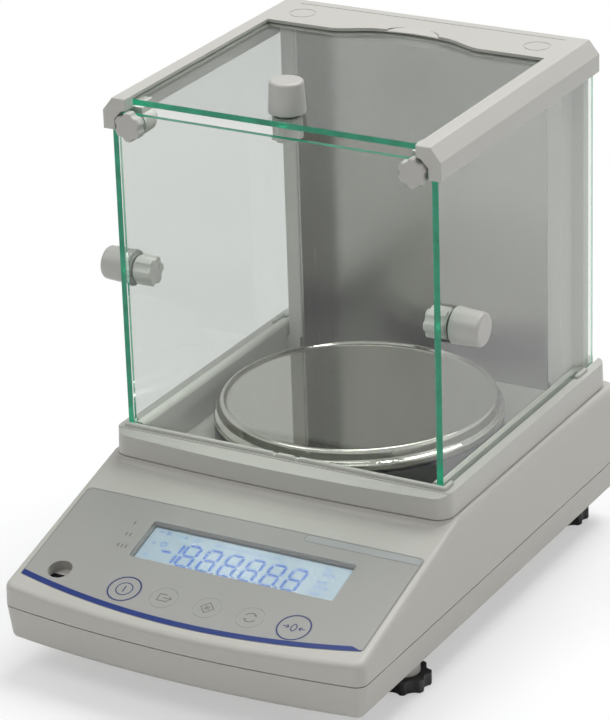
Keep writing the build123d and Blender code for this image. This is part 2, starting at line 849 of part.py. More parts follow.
def crosspiece():
    """The rear bar of the top frame, with its finger recess over the top glass."""
    half = rail_inner_x + 1
    bar = box((-half, half), (crosspiece_front_y, frame_rear_y), (rail_ledge_z, frame_top))
    floor_y = crosspiece_front_y + recess_depth
    ahead = crosspiece_front_y - 5
    left = Spline(
        [(-recess_half_width, crosspiece_front_y), (-recess_floor_half_width, floor_y - 1)],
        tangents=[(1, 0.15), (1, 0.2)],
    )
    middle = ThreePointArc(
        (-recess_floor_half_width, floor_y - 1), (0, floor_y + 1), (recess_floor_half_width, floor_y - 1))
    right = Spline(
        [(recess_floor_half_width, floor_y - 1), (recess_half_width, crosspiece_front_y)],
        tangents=[(1, -0.2), (1, -0.15)],
    )
    recess = make_face([
        left,
        middle,
        right,
        Line((recess_half_width, crosspiece_front_y), (recess_half_width, ahead)),
        Line((recess_half_width, ahead), (-recess_half_width, ahead)),
        Line((-recess_half_width, ahead), (-recess_half_width, crosspiece_front_y)),
    ])
    bar -= Pos(0, 0, rail_ledge_z - 1) * extrude(recess, frame_top - rail_ledge_z + 2)
    web = box((-rail_leg_x - 1, rail_leg_x + 1), (crosspiece_web_front_y, frame_rear_y),
              (crosspiece_web_bottom, rail_ledge_z + 1))
    scoop = Pos(0, floor_y - 1, frame_top - scoop_drop) * Rot(scoop_tilt, 0, 0) * extrude(
        Ellipse(scoop_half_width, scoop_depth + 2), 8)
    groove_half = chamber_half_width - frame_groove_inset
    groove_y = frame_rear_y - frame_groove_setback
    groove = box((-groove_half, groove_half), (groove_y, groove_y + frame_groove_width),
                 (frame_top - frame_groove_depth, frame_top + 1))
    mark_x = chamber_half_width - frame_mark_inset
    mark_y = frame_rear_y - frame_mark_setback
    mark = rod(mark_x, mark_y, (frame_top - frame_groove_depth / 2, frame_top + 1), frame_mark_radius)
    mark -= rod(mark_x, mark_y, (0, frame_top + 2), frame_mark_radius - frame_groove_width)
    return bar + web - scoop - groove - both_sides(mark)


def top_frame():
    """Two rails and the rear crosspiece, slotted for the glass and bossed for the thumbscrews."""
    frame = both_sides(rail()) + crosspiece()
    boss_y = (pane_rear_y + glass_play, pane_rear_y + glass_play + boss_depth)
    boss = rod_along_y(thumbscrew_x, boss_y, thumbscrew_z, boss_radius)
    boss += box((thumbscrew_x - 4, rail_leg_x), boss_y, (thumbscrew_z, rail_ledge_z + 0.5))
    frame += both_sides(boss)
    slot_x = top_glass_half_width + glass_play
    frame -= box((-slot_x, slot_x), (top_glass_front_y - glass_play, frame_rear_y + 5),
                 (top_glass_bottom - 0.2, top_glass_top + glass_play))
    groove = box((groove_inner_x, groove_outer_x), (groove_front_y, frame_rear_y + 5),
                 (rail_bottom - 1, door_top + glass_play))
    pocket = box((-groove_inner_x, groove_inner_x), (groove_front_y, pane_rear_y + glass_play),
                 (rail_bottom - 1, pane_top + glass_play))
    frame -= both_sides(groove) + pocket
    insert_hole = rod_along_y(thumbscrew_x, boss_y, thumbscrew_z, insert_radius)
    return frame - both_sides(insert_hole)


def front_glass():
    half = door_inner_x - pane_gap
    pane = box((-half, half), (door_front_y, pane_rear_y), (pane_bottom, pane_top))
    hole_y = (door_front_y - 1, pane_rear_y + 1)
    hole = rod_along_y(thumbscrew_x, hole_y, thumbscrew_z, thumbscrew_shank_radius + 0.4)
    return pane - both_sides(hole)


def door_glass():
    """The right door's glass."""
    glass = box((door_inner_x, door_outer_x), (door_front_y, door_rear_y), (door_bottom, door_top))
    rear_corners = [edge for edge in glass.edges().filter_by(Axis.X) if edge.center().Y > door_rear_y - 1]
    glass = fillet(ShapeList(rear_corners), door_corner)
    return glass - rod_along_x((door_inner_x - 1, door_outer_x + 1), grip_y, grip_height, glass_hole_radius)


def top_glass():
    glass = box((-top_glass_half_width, top_glass_half_width), (top_glass_front_y, top_glass_rear_y),
                (top_glass_bottom, top_glass_top))
    return glass - rod(0, top_grip_y, (0, frame_top), glass_hole_radius)


def lobed(radius, thickness, lobes=6, round_over=1.0):
    """A lobed knob that stands on z = 0: a disc with scallops between its lobes."""
    scallop = radius * 0.36
    outline = Circle(radius)
    outline -= PolarLocations(radius + scallop * 0.55, lobes) * Circle(scallop)
    outline = fillet(outline.vertices(), radius * 0.12)
    knob = extrude(outline, thickness)
    return fillet(knob.faces().sort_by(Axis.Z)[-1].edges(), round_over)


def tapered_grip(length):
    """A door grip that stands on z = 0, with its screw pointing down through the glass."""
    grip = Cone(grip_base_radius, grip_end_radius, length, align=lift)
    grip = fillet(grip.faces().sort_by(Axis.Z)[-1].edges(), grip_end_round)
    grip = fillet(grip.faces().sort_by(Axis.Z)[0].edges(), 0.5)
    screw_end = 2 * washer_thickness + glass_thickness + nut_thickness - 2
    return grip + Pos(0, 0, -screw_end) * Cylinder(door_screw_radius, screw_end + 1, align=lift)


def washer_pair():
    """The washers on both faces of a glass whose outer face is z = 0."""
    washer = Cylinder(washer_radius, washer_thickness, align=lift)
    washer -= Cylinder(glass_hole_radius, washer_thickness, align=lift)
    inner = Pos(0, 0, -glass_thickness - washer_thickness) * washer
    return Compound(children=[washer.solid(), inner.solid()])


def clamp_nut(radius):
    """The lobed nut behind the glass whose outer face is z = 0."""
    nut = Rot(180, 0, 0) * lobed(radius, nut_thickness)
    bore = Cylinder(door_screw_radius + nut_bore_clearance, nut_thickness, align=lift)
    nut -= Pos(0, 0, -nut_thickness + 1.5) * bore
    return Pos(0, 0, -glass_thickness - washer_thickness) * nut


right_face = Pos(door_outer_x, grip_y, grip_height) * Rot(0, 90, 0)
top_face = Pos(0, top_grip_y, top_glass_top)


def thumbscrew():
    """The right thumbscrew, which clamps the front glass to its boss."""
    seat_y = door_front_y - thumbscrew_gap
    head = lobed(thumbscrew_head_radius, thumbscrew_head_depth)
    shank = Cylinder(thumbscrew_shank_radius, thumbscrew_length + 1, align=lift)
    whole = head + Pos(0, 0, -thumbscrew_length) * shank
    return Pos(thumbscrew_x, seat_y, thumbscrew_z) * Rot(90, 0, 0) * whole


def thumbscrew_inserts():
    y = (pane_rear_y + insert_wall_gap, pane_rear_y + boss_depth)
    insert = rod_along_y(thumbscrew_x, y, thumbscrew_z, insert_radius - 0.02)
    insert -= rod_along_y(thumbscrew_x, (y[0] - 1, y[1] + 1), thumbscrew_z, thumbscrew_shank_radius + 0.08)
    return Compound(children=[insert.solid(), mirrored(insert).solid()])


def pan():
    """The weighing pan: a plate with a beaded rim, a flared skirt and a collar below."""
    plate_edge = pan_rim_radius - pan_bead - 1.6
    low = pan_plate_top - pan_plate_thickness
    outer = pan_rim_radius
    pan_rim_top = pan_plate_top + pan_rim_rise
    pan_skirt_flare_z = pan_plate_top - pan_flare_drop
    pan_skirt_bottom = pan_plate_top - pan_skirt_drop
    section = make_face([
        Line((0, low), (0, pan_plate_top)),
        Line((0, pan_plate_top), (plate_edge, pan_plate_top)),
        Spline(
            [(plate_edge, pan_plate_top), (outer - pan_bead / 2, pan_rim_top), (outer + 0.1, pan_rim_top - 1.8)],
            tangents=[(1, 0), (0.15, -1)],
        ),
        Line((outer + 0.1, pan_rim_top - 1.8), (outer + 0.8, pan_skirt_flare_z + 2.4)),
        Spline(
            [(outer + 0.8, pan_skirt_flare_z + 2.4), (pan_skirt_radius, pan_skirt_flare_z)],
            tangents=[(0.1, -1), (0.35, -1)],
        ),
        Line((pan_skirt_radius, pan_skirt_flare_z), (pan_skirt_radius, pan_skirt_bottom)),
        Line((pan_skirt_radius, pan_skirt_bottom), (pan_skirt_radius - pan_skirt_thickness, pan_skirt_bottom)),
        Line((pan_skirt_radius - pan_skirt_thickness, pan_skirt_bottom),
             (pan_skirt_radius - pan_skirt_thickness, pan_skirt_flare_z)),
        Line((pan_skirt_radius - pan_skirt_thickness, pan_skirt_flare_z),
             (outer - pan_skirt_thickness, pan_skirt_flare_z + 2.4)),
        Line((outer - pan_skirt_thickness, pan_skirt_flare_z + 2.4), (outer - pan_skirt_thickness, low)),
        Line((outer - pan_skirt_thickness, low), (0, low)),
    ])
    body = revolve(Plane.XZ * section, Axis.Z)
    collar_inner = hub_radius + pan_collar_clearance
    collar = rod(0, 0, (low - pan_collar_length, low + 0.3), collar_inner + pan_collar_wall)
    body += collar - rod(0, 0, (low - pan_collar_length, low), collar_inner)
    return Pos(0, pan_y, 0) * body


def draught_ring():
    """The ring under the pan, with a foot that stands on the chamber's floor."""
    inner = draught_ring_radius - draught_ring_wall
    ring = Cylinder(draught_ring_radius, draught_ring_rise, align=lift)
    ring = fillet(ring.edges().sort_by(Axis.Z)[-1:], 1.0)
    ring -= Pos(0, 0, draught_ring_wall) * Cylinder(inner, draught_ring_rise, align=lift)
    ring -= Cylinder(inner - draught_ring_foot, draught_ring_rise, align=lift)
    return Pos(0, pan_y, chamber_floor) * ring


def sensor_screw_places():
    y = sensor_rear_y - bracket_length / 2
    return [(x, y + step) for x in (-9.0, 9.0) for step in (-6.0, 6.0)]


def board_screw_places():
    return [(x, y) for x in (main_board_x[0] + board_screw_inset, main_board_x[1] - board_screw_side_inset)
            for y in (main_board_y[0] + board_screw_inset, chassis_rear_y - board_screw_inset)]


def chassis_plate():
    """A steel plate on the case's floor, with standoffs for the main board."""
    plate = box((-chassis_half_width, chassis_half_width), (chassis_front_y, chassis_rear_y),
                (floor_top, chassis_top))
    plate = fillet(plate.edges().filter_by(Axis.Z), 6)
    for x, y in board_screw_places():
        if x > chassis_half_width - standoff_radius:
            tab = box((chassis_half_width - 8, x + 5), (y - 5, y + 5), (floor_top, chassis_top))
            plate += tab
        plate += rod(x, y, (floor_top, main_board_z), standoff_radius)
        plate -= rod(x, y, (main_board_z - 8, main_board_z + 1), screw_shank_radius)
    for x, y in sensor_screw_places():
        plate -= rod(x, y, (0, chassis_top + 1), screw_shank_radius + screw_clearance)
    return plate


def sensor_bracket():
    """The block under the sensor's fixed end."""
    block = box((-sensor_half_width, sensor_half_width), (sensor_rear_y - bracket_length, sensor_rear_y),
                (chassis_top, sensor_bottom))
    for x, y in sensor_screw_places():
        block -= rod(x, y, (0, sensor_bottom + 1), screw_shank_radius + screw_clearance)
    return block


def force_sensor():
    """A one-piece parallel-guide block: a window with four thin flexures."""
    block = box((-sensor_half_width, sensor_half_width), (sensor_front_y, sensor_rear_y),
                (sensor_bottom, sensor_top))
    window_y = (sensor_front_y + 32.0, sensor_rear_y - bracket_length - 2.0)
    low = sensor_bottom + sensor_flexure
    high = sensor_top - sensor_flexure
    reach = (-sensor_half_width - 1, sensor_half_width + 1)
    block -= box(reach, window_y, (low, high))
    for y in window_y:
        for z in (low, high):
            block -= rod_along_x(reach, y, z, sensor_relief_radius)
    for x, y in sensor_screw_places():
        block -= rod(x, y, (0, sensor_bottom + 8), screw_shank_radius + screw_clearance / 2)
    block -= rod(0, pan_y, (sensor_top - 7, sensor_top + 1), spindle_thread_radius + screw_clearance)
    return block


def spindle():
    """The pin that carries the pan's support on the sensor's free end."""
    body = rod(0, pan_y, (sensor_top, sensor_top + spindle_flange_thickness), spindle_flange_radius)
    body += rod(0, pan_y, (sensor_top, hub_bottom), spindle_shoulder_radius)
    body += rod(0, pan_y, (sensor_top, hub_top - 5), spindle_pin_radius)
    return body + rod(0, pan_y, (sensor_top - 6, sensor_top), spindle_thread_radius)


def pad_places():
    return [(pad_circle_radius * cos(radians(turn)), pan_y + pad_circle_radius * sin(radians(turn)))
            for turn in (45, 135, 225, 315)]


def pan_support():
    """A hub with four arms under the pan."""
    body = rod(0, pan_y, (hub_bottom, hub_top), hub_radius)
    for turn in (45, 135):
        arm = Box(2 * arm_radius, arm_width, arm_top - arm_bottom, align=lift)
        arm = fillet(arm.edges().filter_by(Axis.Z), 3.5)
        body += Pos(0, pan_y, arm_bottom) * Rot(0, 0, turn) * arm
    body -= rod(0, pan_y, (0, hub_top - 4.5), spindle_pin_radius + hub_bore_clearance)
    for x, y in pad_places():
        body -= rod(x, y, (arm_bottom - 1, arm_top + 1), 1.5)
    return body


def pan_pads():
    """Four rubber studs, each with a stem in its arm."""
    pan_underside = pan_plate_top - pan_plate_thickness
    pads = []
    for x, y in pad_places():
        stud = rod(x, y, (arm_top, pan_underside), pad_radius)
        stud += rod(x, y, (arm_bottom, arm_top), 1.45)
        pads.append(stud.solid())
    return Compound(children=pads)


def keypad_overlay():
    """The printed film on the panel, cut out for the window, the keys and the level."""
    film = extrude(overlay_outline(), overlay_thickness)
    film -= extrude(window_outline(), overlay_thickness)
    film = panel * Pos(0, 0, -overlay_recess) * film
    for x, radius in key_places.values():
        film -= panel_place(x, key_line, 2) * Cylinder(radius + key_gap, 4, align=lift)
    return film - panel_place(level_x, level_from_top, 2) * Cylinder(level_window_radius, 4, align=lift)


def switch_top_depth():
    """How deep a switch's button lies under the panel, a little more than a key's travel below its stem."""
    return display_board_depth - switch_body_height - switch_button_height


def key(name):
    """A key: a disc of the film, with the stem that presses its switch."""
    x, radius = key_places[name]
    stem_end = switch_top_depth() - key_travel - 0.05
    disc = panel_place(x, key_line, overlay_recess) * Cylinder(radius, overlay_thickness, align=lift)
    stem = Cylinder(key_stem_radius, stem_end - overlay_recess + 0.1, align=lift)
    return disc + panel_place(x, key_line, stem_end) * stem


def display_window():
    depth = lens_thickness + overlay_recess
    return panel * Pos(0, 0, -depth) * extrude(window_outline(-lens_clearance), depth)


def lcd_panel():
    plate = extrude(window_outline(lcd_margin - window_corner), lcd_thickness)
    return panel * Pos(0, 0, -case_wall - lcd_thickness) * plate


def backlight_panel():
    depth = case_wall + lcd_thickness + backlight_thickness
    plate = extrude(window_outline(lcd_margin - window_corner), backlight_thickness)
    return panel * Pos(0, 0, -depth) * plate


def display_board():
    """The board that carries the backlight and the key switches."""
    left = display_screw_x[0] - display_board_edge
    right = display_screw_x[1] + display_board_edge
    middle = (display_board_start + display_board_end) / 2
    board = panel_place((left + right) / 2, middle, display_board_depth + board_thickness) * Box(
        right - left, display_board_end - display_board_start, board_thickness, align=lift)
    riser_depth = case_wall + lcd_thickness + backlight_thickness
    riser = panel_place(window_center_x, window_from_top + window_height / 2, display_board_depth) * Box(
        window_width - 8, window_height - 6, display_board_depth - riser_depth, align=lift)
    board += riser
    for x, from_top in display_screw_places():
        board -= panel_place(x, from_top, display_board_depth + 3) * Cylinder(
            screw_shank_radius + screw_clearance, 6, align=lift)
    return board


def key_switches():
    """One push switch under each key."""
    switches = []
    for x, radius in key_places.values():
        body = panel_place(x, key_line, display_board_depth) * Box(
            switch_size, switch_size, switch_body_height, align=lift)
        body += panel_place(x, key_line, display_board_depth - switch_body_height) * Cylinder(
            switch_button_radius, switch_button_height, align=lift)
        switches.append(body.solid())
    return Compound(children=switches)


def display_screws():
    screws = []
    for x, from_top in display_screw_places():
        under = display_board_depth + board_thickness
        body = panel_place(x, from_top, under + small_head_height) * Cylinder(
            small_head_radius, small_head_height, align=lift)
        body += panel_place(x, from_top, under) * Cylinder(
            screw_shank_radius - 0.03, under - case_wall - 1.2, align=lift)
        screws.append(body.solid())
    return Compound(children=screws)


def level_cup():
    """The upright cup that holds the level's vial under the panel."""
    y = panel_y(level_from_top)
    top = level_top()
    cup = rod(level_x, y, (top - level_cup_height, top), level_cup_radius)
    return cup - rod(level_x, y, (top - level_cup_height + 1.5, top + 1), level_cup_radius - level_wall)


def level_vial():
    y = panel_y(level_from_top)
    top = level_top()
    vial = rod(level_x, y, (top - level_cup_height + 1.5, top - 0.3), level_cup_radius - level_wall - 0.05)
    return fillet(vial.edges().sort_by(Axis.Z)[-1:], 0.8)


def main_board():
    """The main board with its larger components."""
    board = box(main_board_x, main_board_y, (main_board_z, main_board_z + board_thickness))
    top = main_board_z + board_thickness
    left, front = main_board_x[0], main_board_y[0]
    processor = box((left + 20, left + 38), (front + 38, front + 56), (top, top + 1.8))
    memory = box((left + 10, left + 18), (front + 70, front + 82), (top, top + 1.5))
    regulator = box((left + 48, left + 58), (front + 70, front + 80), (top, top + 6))
    coil = rod(left + 51, front + 54, (top, top + 7), 5.5)
    header = box((ribbon_x - header_width / 2, ribbon_x + header_width / 2),
                 (front + header_length, front + 2 * header_length), (top, top + header_height))
    board += processor + memory + regulator + coil + header
    for x, y in board_screw_places():
        board -= rod(x, y, (0, top + 1), screw_shank_radius + screw_clearance)
    return board


def board_screws():
    top = main_board_z + board_thickness
    screws = []
    for x, y in board_screw_places():
        body = rod(x, y, (top, top + small_head_height), small_head_radius)
        body += rod(x, y, (main_board_z - 6.5, top), screw_shank_radius - 0.03)
        screws.append(body.solid())
    return Compound(children=screws)


def ribbon_cable():
    """The flat cable from the display board down to the main board."""
    board_under = display_board_depth + board_thickness + ribbon_gap
    start = (panel_y(ribbon_start, board_under), panel_z(ribbon_start, board_under))
    end = (main_board_y[0] + 1.5 * header_length, main_board_z + board_thickness + header_height + ribbon_gap)
    path = FilletPolyline(
        [
            (ribbon_x, start[0], start[1]),
            (ribbon_x, start[0] + 3, start[1] - 11),
            (ribbon_x, start[0] + 56, end[1] - 6),
            (ribbon_x, end[0] - 41, end[1] - 4),
            (ribbon_x, end[0], end[1] + 8),
            (ribbon_x, end[0], end[1]),
        ],
        radius=[4, 6, 14, 5],
    )
    section = Plane(origin=path @ 0, x_dir=(1, 0, 0), z_dir=path % 0) * Rectangle(ribbon_width, ribbon_thickness)
    return sweep(section, path)


def inlet_body(grow=0.0):
    """The power inlet's outside, in the rear wall."""
    low = main_board_z + board_thickness - grow
    return box(
        (inlet_x - inlet_width / 2 - grow, inlet_x + inlet_width / 2 + grow),
        (case_rear_y - inlet_depth, case_rear_y + grow),
        (low, low + inlet_height + 2 * grow),
    )


def power_inlet():
    """A coaxial power socket with its centre pin."""
    z = main_board_z + board_thickness + inlet_height / 2
    bore_y = (case_rear_y - inlet_depth + 3, case_rear_y + 1)
    body = inlet_body() - rod_along_y(inlet_x, bore_y, z, inlet_bore_radius)
    return body + rod_along_y(inlet_x, (case_rear_y - inlet_depth + 2, case_rear_y - 1), z, inlet_pin_radius)


def port_body(grow=0.0):
    """The serial port's flange and housing, in the rear wall."""
    low = main_board_z + board_thickness - grow
    return box(
        (port_x - port_flange_width / 2 - grow, port_x + port_flange_width / 2 + grow),
        (case_rear_y - port_recess - port_depth, case_rear_y - port_recess + grow),
        (low, low + port_height + 2 * grow),
    )


def serial_port():
    """A nine-pole socket: a flange, a D-shaped shell and two hexagonal screw posts."""
    z = main_board_z + board_thickness + port_height / 2
    lean = 1.2
    face = make_face(Polyline([
        (-port_shell_width / 2, port_shell_height / 2),
        (port_shell_width / 2, port_shell_height / 2),
        (port_shell_width / 2 - lean, -port_shell_height / 2),
        (-port_shell_width / 2 + lean, -port_shell_height / 2),
    ], close=True))
    face = fillet(face.vertices(), 1.6)
    outward = Plane(origin=(port_x, case_rear_y - port_recess - 0.5, z), x_dir=(-1, 0, 0), z_dir=(0, 1, 0))
    body = port_body() + outward * extrude(face, port_protrusion)
    body -= outward * Pos(0, 0, -1.5) * extrude(offset(face, -0.8), port_protrusion + 3)
    pins = []
    for row, count in ((1.4, 5), (-1.4, 4)):
        for k in range(count):
            pins.append(((k - (count - 1) / 2) * 2.77, row))
    for x, up in pins:
        body += outward * Pos(x, up, -2) * Cylinder(0.5, port_protrusion + 0.5, align=lift)
    for x in (-12.5, 12.5):
        post_body = outward * Pos(x, 0, 0) * extrude(RegularPolygon(2.6, 6), port_protrusion)
        body += post_body - outward * Pos(x, 0, 0.8) * Cylinder(1.4, port_protrusion, align=lift)
    return body


def case_screws():
    screws = []
    seat = underside_height + screw_seat_depth
    for x, y in case_boss_places():
        body = rod(x, y, (seat - screw_head_height, seat), screw_head_radius)
        body += rod(x, y, (seat - 0.5, seam_height + screw_thread_length), screw_shank_radius)
        recess = Pos(x, y, seat - screw_head_height - 1) * extrude(RegularPolygon(1.4, 6), 2.2)
        screws.append((body - recess).solid())
    return Compound(children=screws)


def sensor_screws():
    screws = []
    for x, y in sensor_screw_places():
        body = rod(x, y, (floor_top, sensor_bottom + 7), screw_shank_radius)
        screws.append(body.solid())
    return Compound(children=screws)


def post_screws():
    """A screw below each post, up through its socket."""
    screws = []
    for x, y in post_screw_places():
        body = rod(x, y, (chamber_floor - 0.6, chamber_floor + 1), small_head_radius)
        body += rod(x, y, (chamber_floor, socket_top + 10), screw_shank_radius - 0.03)
        screws.append(body.solid())
    return Compound(children=screws)


def foot(place):
    """A levelling foot: a lobed wheel with a stud."""
    x, y = place
    wheel = Rot(180, 0, 0) * lobed(foot_radius, foot_height, lobes=8, round_over=1.2)
    wheel = Pos(x, y, foot_height) * wheel
    return wheel + rod(x, y, (foot_height - 1, foot_stud_top), foot_stud_radius)


def foot_nuts():
    nuts = []
    for x, y in foot_places().values():
        nut = Pos(x, y, floor_top) * extrude(RegularPolygon(foot_nut_radius, 6), foot_nut_height)
        nut -= rod(x, y, (0, floor_top + 10), foot_stud_radius + screw_clearance)
        nuts.append(nut.solid())
    return Compound(children=nuts)


nodes = {
    "lower_case": lower_case(),
    "upper_case": upper_case(),
    "windshield_base": windshield_base(),
    "right_post": post(),
    "left_post": mirrored(post()),
    "rear_wall": rear_wall(),
    "top_frame": top_frame(),
    "front_glass": front_glass(),
    "thumbscrew_inserts": thumbscrew_inserts(),
    "right_thumbscrew": thumbscrew(),
    "left_thumbscrew": mirrored(thumbscrew()),
    "right_door_glass": door_glass(),
    "right_door_grip": right_face * Pos(0, 0, washer_thickness) * tapered_grip(grip_length),
    "right_door_washers": right_face * washer_pair(),
    "right_door_nut": right_face * clamp_nut(nut_radius),
    "left_door_glass": mirrored(door_glass()),
    "left_door_grip": mirrored(right_face * Pos(0, 0, washer_thickness) * tapered_grip(grip_length)),
    "left_door_washers": mirrored(right_face * washer_pair()),
    "left_door_nut": mirrored(right_face * clamp_nut(nut_radius)),
    "top_door_glass": top_glass(),
    "top_door_grip": top_face * Pos(0, 0, washer_thickness) * tapered_grip(top_grip_length),
    "top_door_washers": top_face * washer_pair(),
    "top_door_nut": top_face * clamp_nut(top_nut_radius),
    "pan": pan(),
    "draught_ring": draught_ring(),
    "pan_support": pan_support(),
    "pan_pads": pan_pads(),
    "spindle": spindle(),
    "force_sensor": force_sensor(),
    "sensor_bracket": sensor_bracket(),
    "chassis_plate": chassis_plate(),
    "keypad_overlay": keypad_overlay(),
    "display_window": display_window(),
    "lcd_panel": lcd_panel(),
    "backlight_panel": backlight_panel(),
    "display_board": display_board(),
    "key_switches": key_switches(),
    "level_cup": level_cup(),
    "level_vial": level_vial(),
    "main_board": main_board(),
    "ribbon_cable": ribbon_cable(),
    "power_inlet": power_inlet(),
    "serial_port": serial_port(),
    "case_screws": case_screws(),
    "display_screws": display_screws(),
    "board_screws": board_screws(),
    "sensor_screws": sensor_screws(),
    "post_screws": post_screws(),
    "foot_nuts": foot_nuts(),
}
for name in key_places:
    nodes[name] = key(name)
for name, place in foot_places().items():
    nodes[name] = foot(place)

os.makedirs("parts", exist_ok=True)
for name, shape in nodes.items():
    export_step(shape, f"parts/{name}.step")
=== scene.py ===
import json
import math

import bpy
import numpy as np
from mathutils import Matrix, Vector

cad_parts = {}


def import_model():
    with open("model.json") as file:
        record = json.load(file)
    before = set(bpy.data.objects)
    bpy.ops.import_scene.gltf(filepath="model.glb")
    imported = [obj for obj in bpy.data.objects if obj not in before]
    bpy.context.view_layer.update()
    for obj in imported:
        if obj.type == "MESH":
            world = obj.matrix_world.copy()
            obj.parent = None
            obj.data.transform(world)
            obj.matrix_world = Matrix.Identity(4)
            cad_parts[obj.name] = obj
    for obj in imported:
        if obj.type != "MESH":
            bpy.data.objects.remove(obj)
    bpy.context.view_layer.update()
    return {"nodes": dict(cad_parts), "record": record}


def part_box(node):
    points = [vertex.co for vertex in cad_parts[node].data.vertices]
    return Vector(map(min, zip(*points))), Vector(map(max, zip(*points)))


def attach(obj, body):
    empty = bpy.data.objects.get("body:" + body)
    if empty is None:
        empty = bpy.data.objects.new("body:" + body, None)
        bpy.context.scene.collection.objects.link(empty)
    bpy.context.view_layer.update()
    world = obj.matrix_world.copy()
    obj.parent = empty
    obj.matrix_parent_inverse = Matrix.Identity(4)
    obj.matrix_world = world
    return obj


# A laboratory balance with a glass draught shield. Metres, the CAD model's frame.
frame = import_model()
nodes = frame["nodes"]

# Photograph's frame
IMAGE_WIDTH = 610
IMAGE_HEIGHT = 720
PRINCIPAL_X = 365.0
FOCAL_PIXELS = 3514.5
SENSOR = 36.0

# Camera
CAMERA_AZIMUTH = 28.743
CAMERA_ELEVATION = 23.219
CAMERA_ROLL = -1.49
CAMERA_TARGET = (-0.0002, 0.0515, 0.1086)
CAMERA_DISTANCE = 1.7947

# Control panel, as in the CAD model
PANEL_SLOPE = math.radians(16.2)
PANEL_TOP = (0.0, -0.036, 0.0773)
OVERLAY_START = 0.0316
OVERLAY_SIDE = 0.0673
OVERLAY_HALF_WIDTH = 0.0946
OVERLAY_ARC = 0.398
OVERLAY_RISE = 0.0001
PRINT_RISE = 0.00004
WINDOW_CENTER = 0.008
WINDOW_WIDTH = 0.113
WINDOW_FROM_TOP = 0.0136
WINDOW_HEIGHT = 0.0266
LCD_DEPTH = 0.0025
WINDOW_LEFT = WINDOW_CENTER - WINDOW_WIDTH / 2
WINDOW_RIGHT = WINDOW_CENTER + WINDOW_WIDTH / 2
DISPLAY_RISE = -LCD_DEPTH - OVERLAY_RISE + 0.00005
# Height of the painted shade strips round the display, under the window's bevel
BEVEL_SHADE_RISE = -LCD_DEPTH - OVERLAY_RISE + 0.00006
KEY_LINE = 0.0623
KEYS = {
    "key_power": (-0.038, 0.009),
    "key_print": (-0.0158, 0.007),
    "key_set": (0.0083, 0.007),
    "key_function": (0.0318, 0.007),
    "key_tare": (0.0555, 0.009),
}
LEVEL_X = -0.0766
LEVEL_FROM_TOP = 0.0591
LARGE_KEY_RADIUS = 0.008

# Lamps: name, place, the point lit, side and power
LAMPS = (
    ("key_lamp", (-0.9, -1.1, 2.0), (0.0, 0.0, 0.1), 1.1, 15.0),
    ("top_lamp", (0.2, 0.9, 2.2), (0.0, 0.05, 0.15), 1.4, 50.0),
    ("side_lamp", (1.9, 0.1, 0.9), (0.0, 0.0, 0.1), 1.0, 3.2),
    ("front_lamp", (0.6, -2.0, 0.5), (0.0, 0.0, 0.12), 1.4, 1.5),
)

# Floor: half its side, and the distances from the middle between which it fades to white
FLOOR_REACH = 6.0
SHADOW_INNER = 0.16
SHADOW_OUTER = 0.34

# Glass colours; the two edge greens also feed the edges' emission, a painted glow, and their noise mix
# paints highlights along the edges
EDGE_DARK = (0.004, 0.105, 0.058, 1.0)
EDGE_PAINTED_HIGHLIGHT = (0.022, 0.400, 0.225, 1.0)
GLASS_TINT = (0.82, 0.84, 0.825, 1.0)
LAMP_TINT = (0.82, 0.85, 0.83)


def camera():
    """The photograph's camera: a long lens, turned a little about its axis."""
    data = bpy.data.cameras.new("camera")
    data.sensor_width = SENSOR
    data.lens = FOCAL_PIXELS / IMAGE_HEIGHT * SENSOR
    data.shift_x = (IMAGE_WIDTH / 2 - PRINCIPAL_X) / IMAGE_HEIGHT
    data.clip_start, data.clip_end = 0.01, 50.0
    obj = bpy.data.objects.new("camera", data)
    azimuth, elevation = math.radians(CAMERA_AZIMUTH), math.radians(CAMERA_ELEVATION)
    back = Vector((
        math.sin(azimuth) * math.cos(elevation),
        -math.cos(azimuth) * math.cos(elevation),
        math.sin(elevation),
    ))
    right = Vector((0, 0, 1)).cross(back).normalized()
    up = back.cross(right)
    roll = math.radians(CAMERA_ROLL)
    turned_right = math.cos(roll) * right + math.sin(roll) * up
    turned_up = -math.sin(roll) * right + math.cos(roll) * up
    axes = Matrix((turned_right, turned_up, back)).transposed()
    obj.matrix_world = Matrix.Translation(Vector(CAMERA_TARGET) + back * CAMERA_DISTANCE) @ axes.to_4x4()
    bpy.context.scene.collection.objects.link(obj)
    bpy.context.scene.camera = obj


# Shader helpers

def new_group(name, inputs, outputs):
    """An empty shader group with float inputs (name, value) and outputs (name, socket type)."""
    group = bpy.data.node_groups.new(name, "ShaderNodeTree")
    for label, value in inputs:
        socket = group.interface.new_socket(label, in_out="INPUT", socket_type="NodeSocketFloat")
        socket.default_value = value
    for label, kind in outputs:
        group.interface.new_socket(label, in_out="OUTPUT", socket_type=kind)
    return group, group.nodes.new("NodeGroupInput"), group.nodes.new("NodeGroupOutput")


def link(tree, source, target):
    """Joins an output socket to an input socket."""
    tree.links.new(source, target)


def math_node(tree, operation, first, second=None):
    """A Math node whose two inputs are sockets or plain numbers."""
    node = tree.nodes.new("ShaderNodeMath")
    node.operation = operation
    for index, value in enumerate((first, second)):
        if value is None:
            continue
        if isinstance(value, (int, float)):
            node.inputs[index].default_value = value
        else:
            link(tree, value, node.inputs[index])
    return node.outputs[0]


def object_place(tree):
    """The place on the object, as the vector that patterns read."""
    return tree.nodes.new("ShaderNodeTexCoord").outputs["Object"]


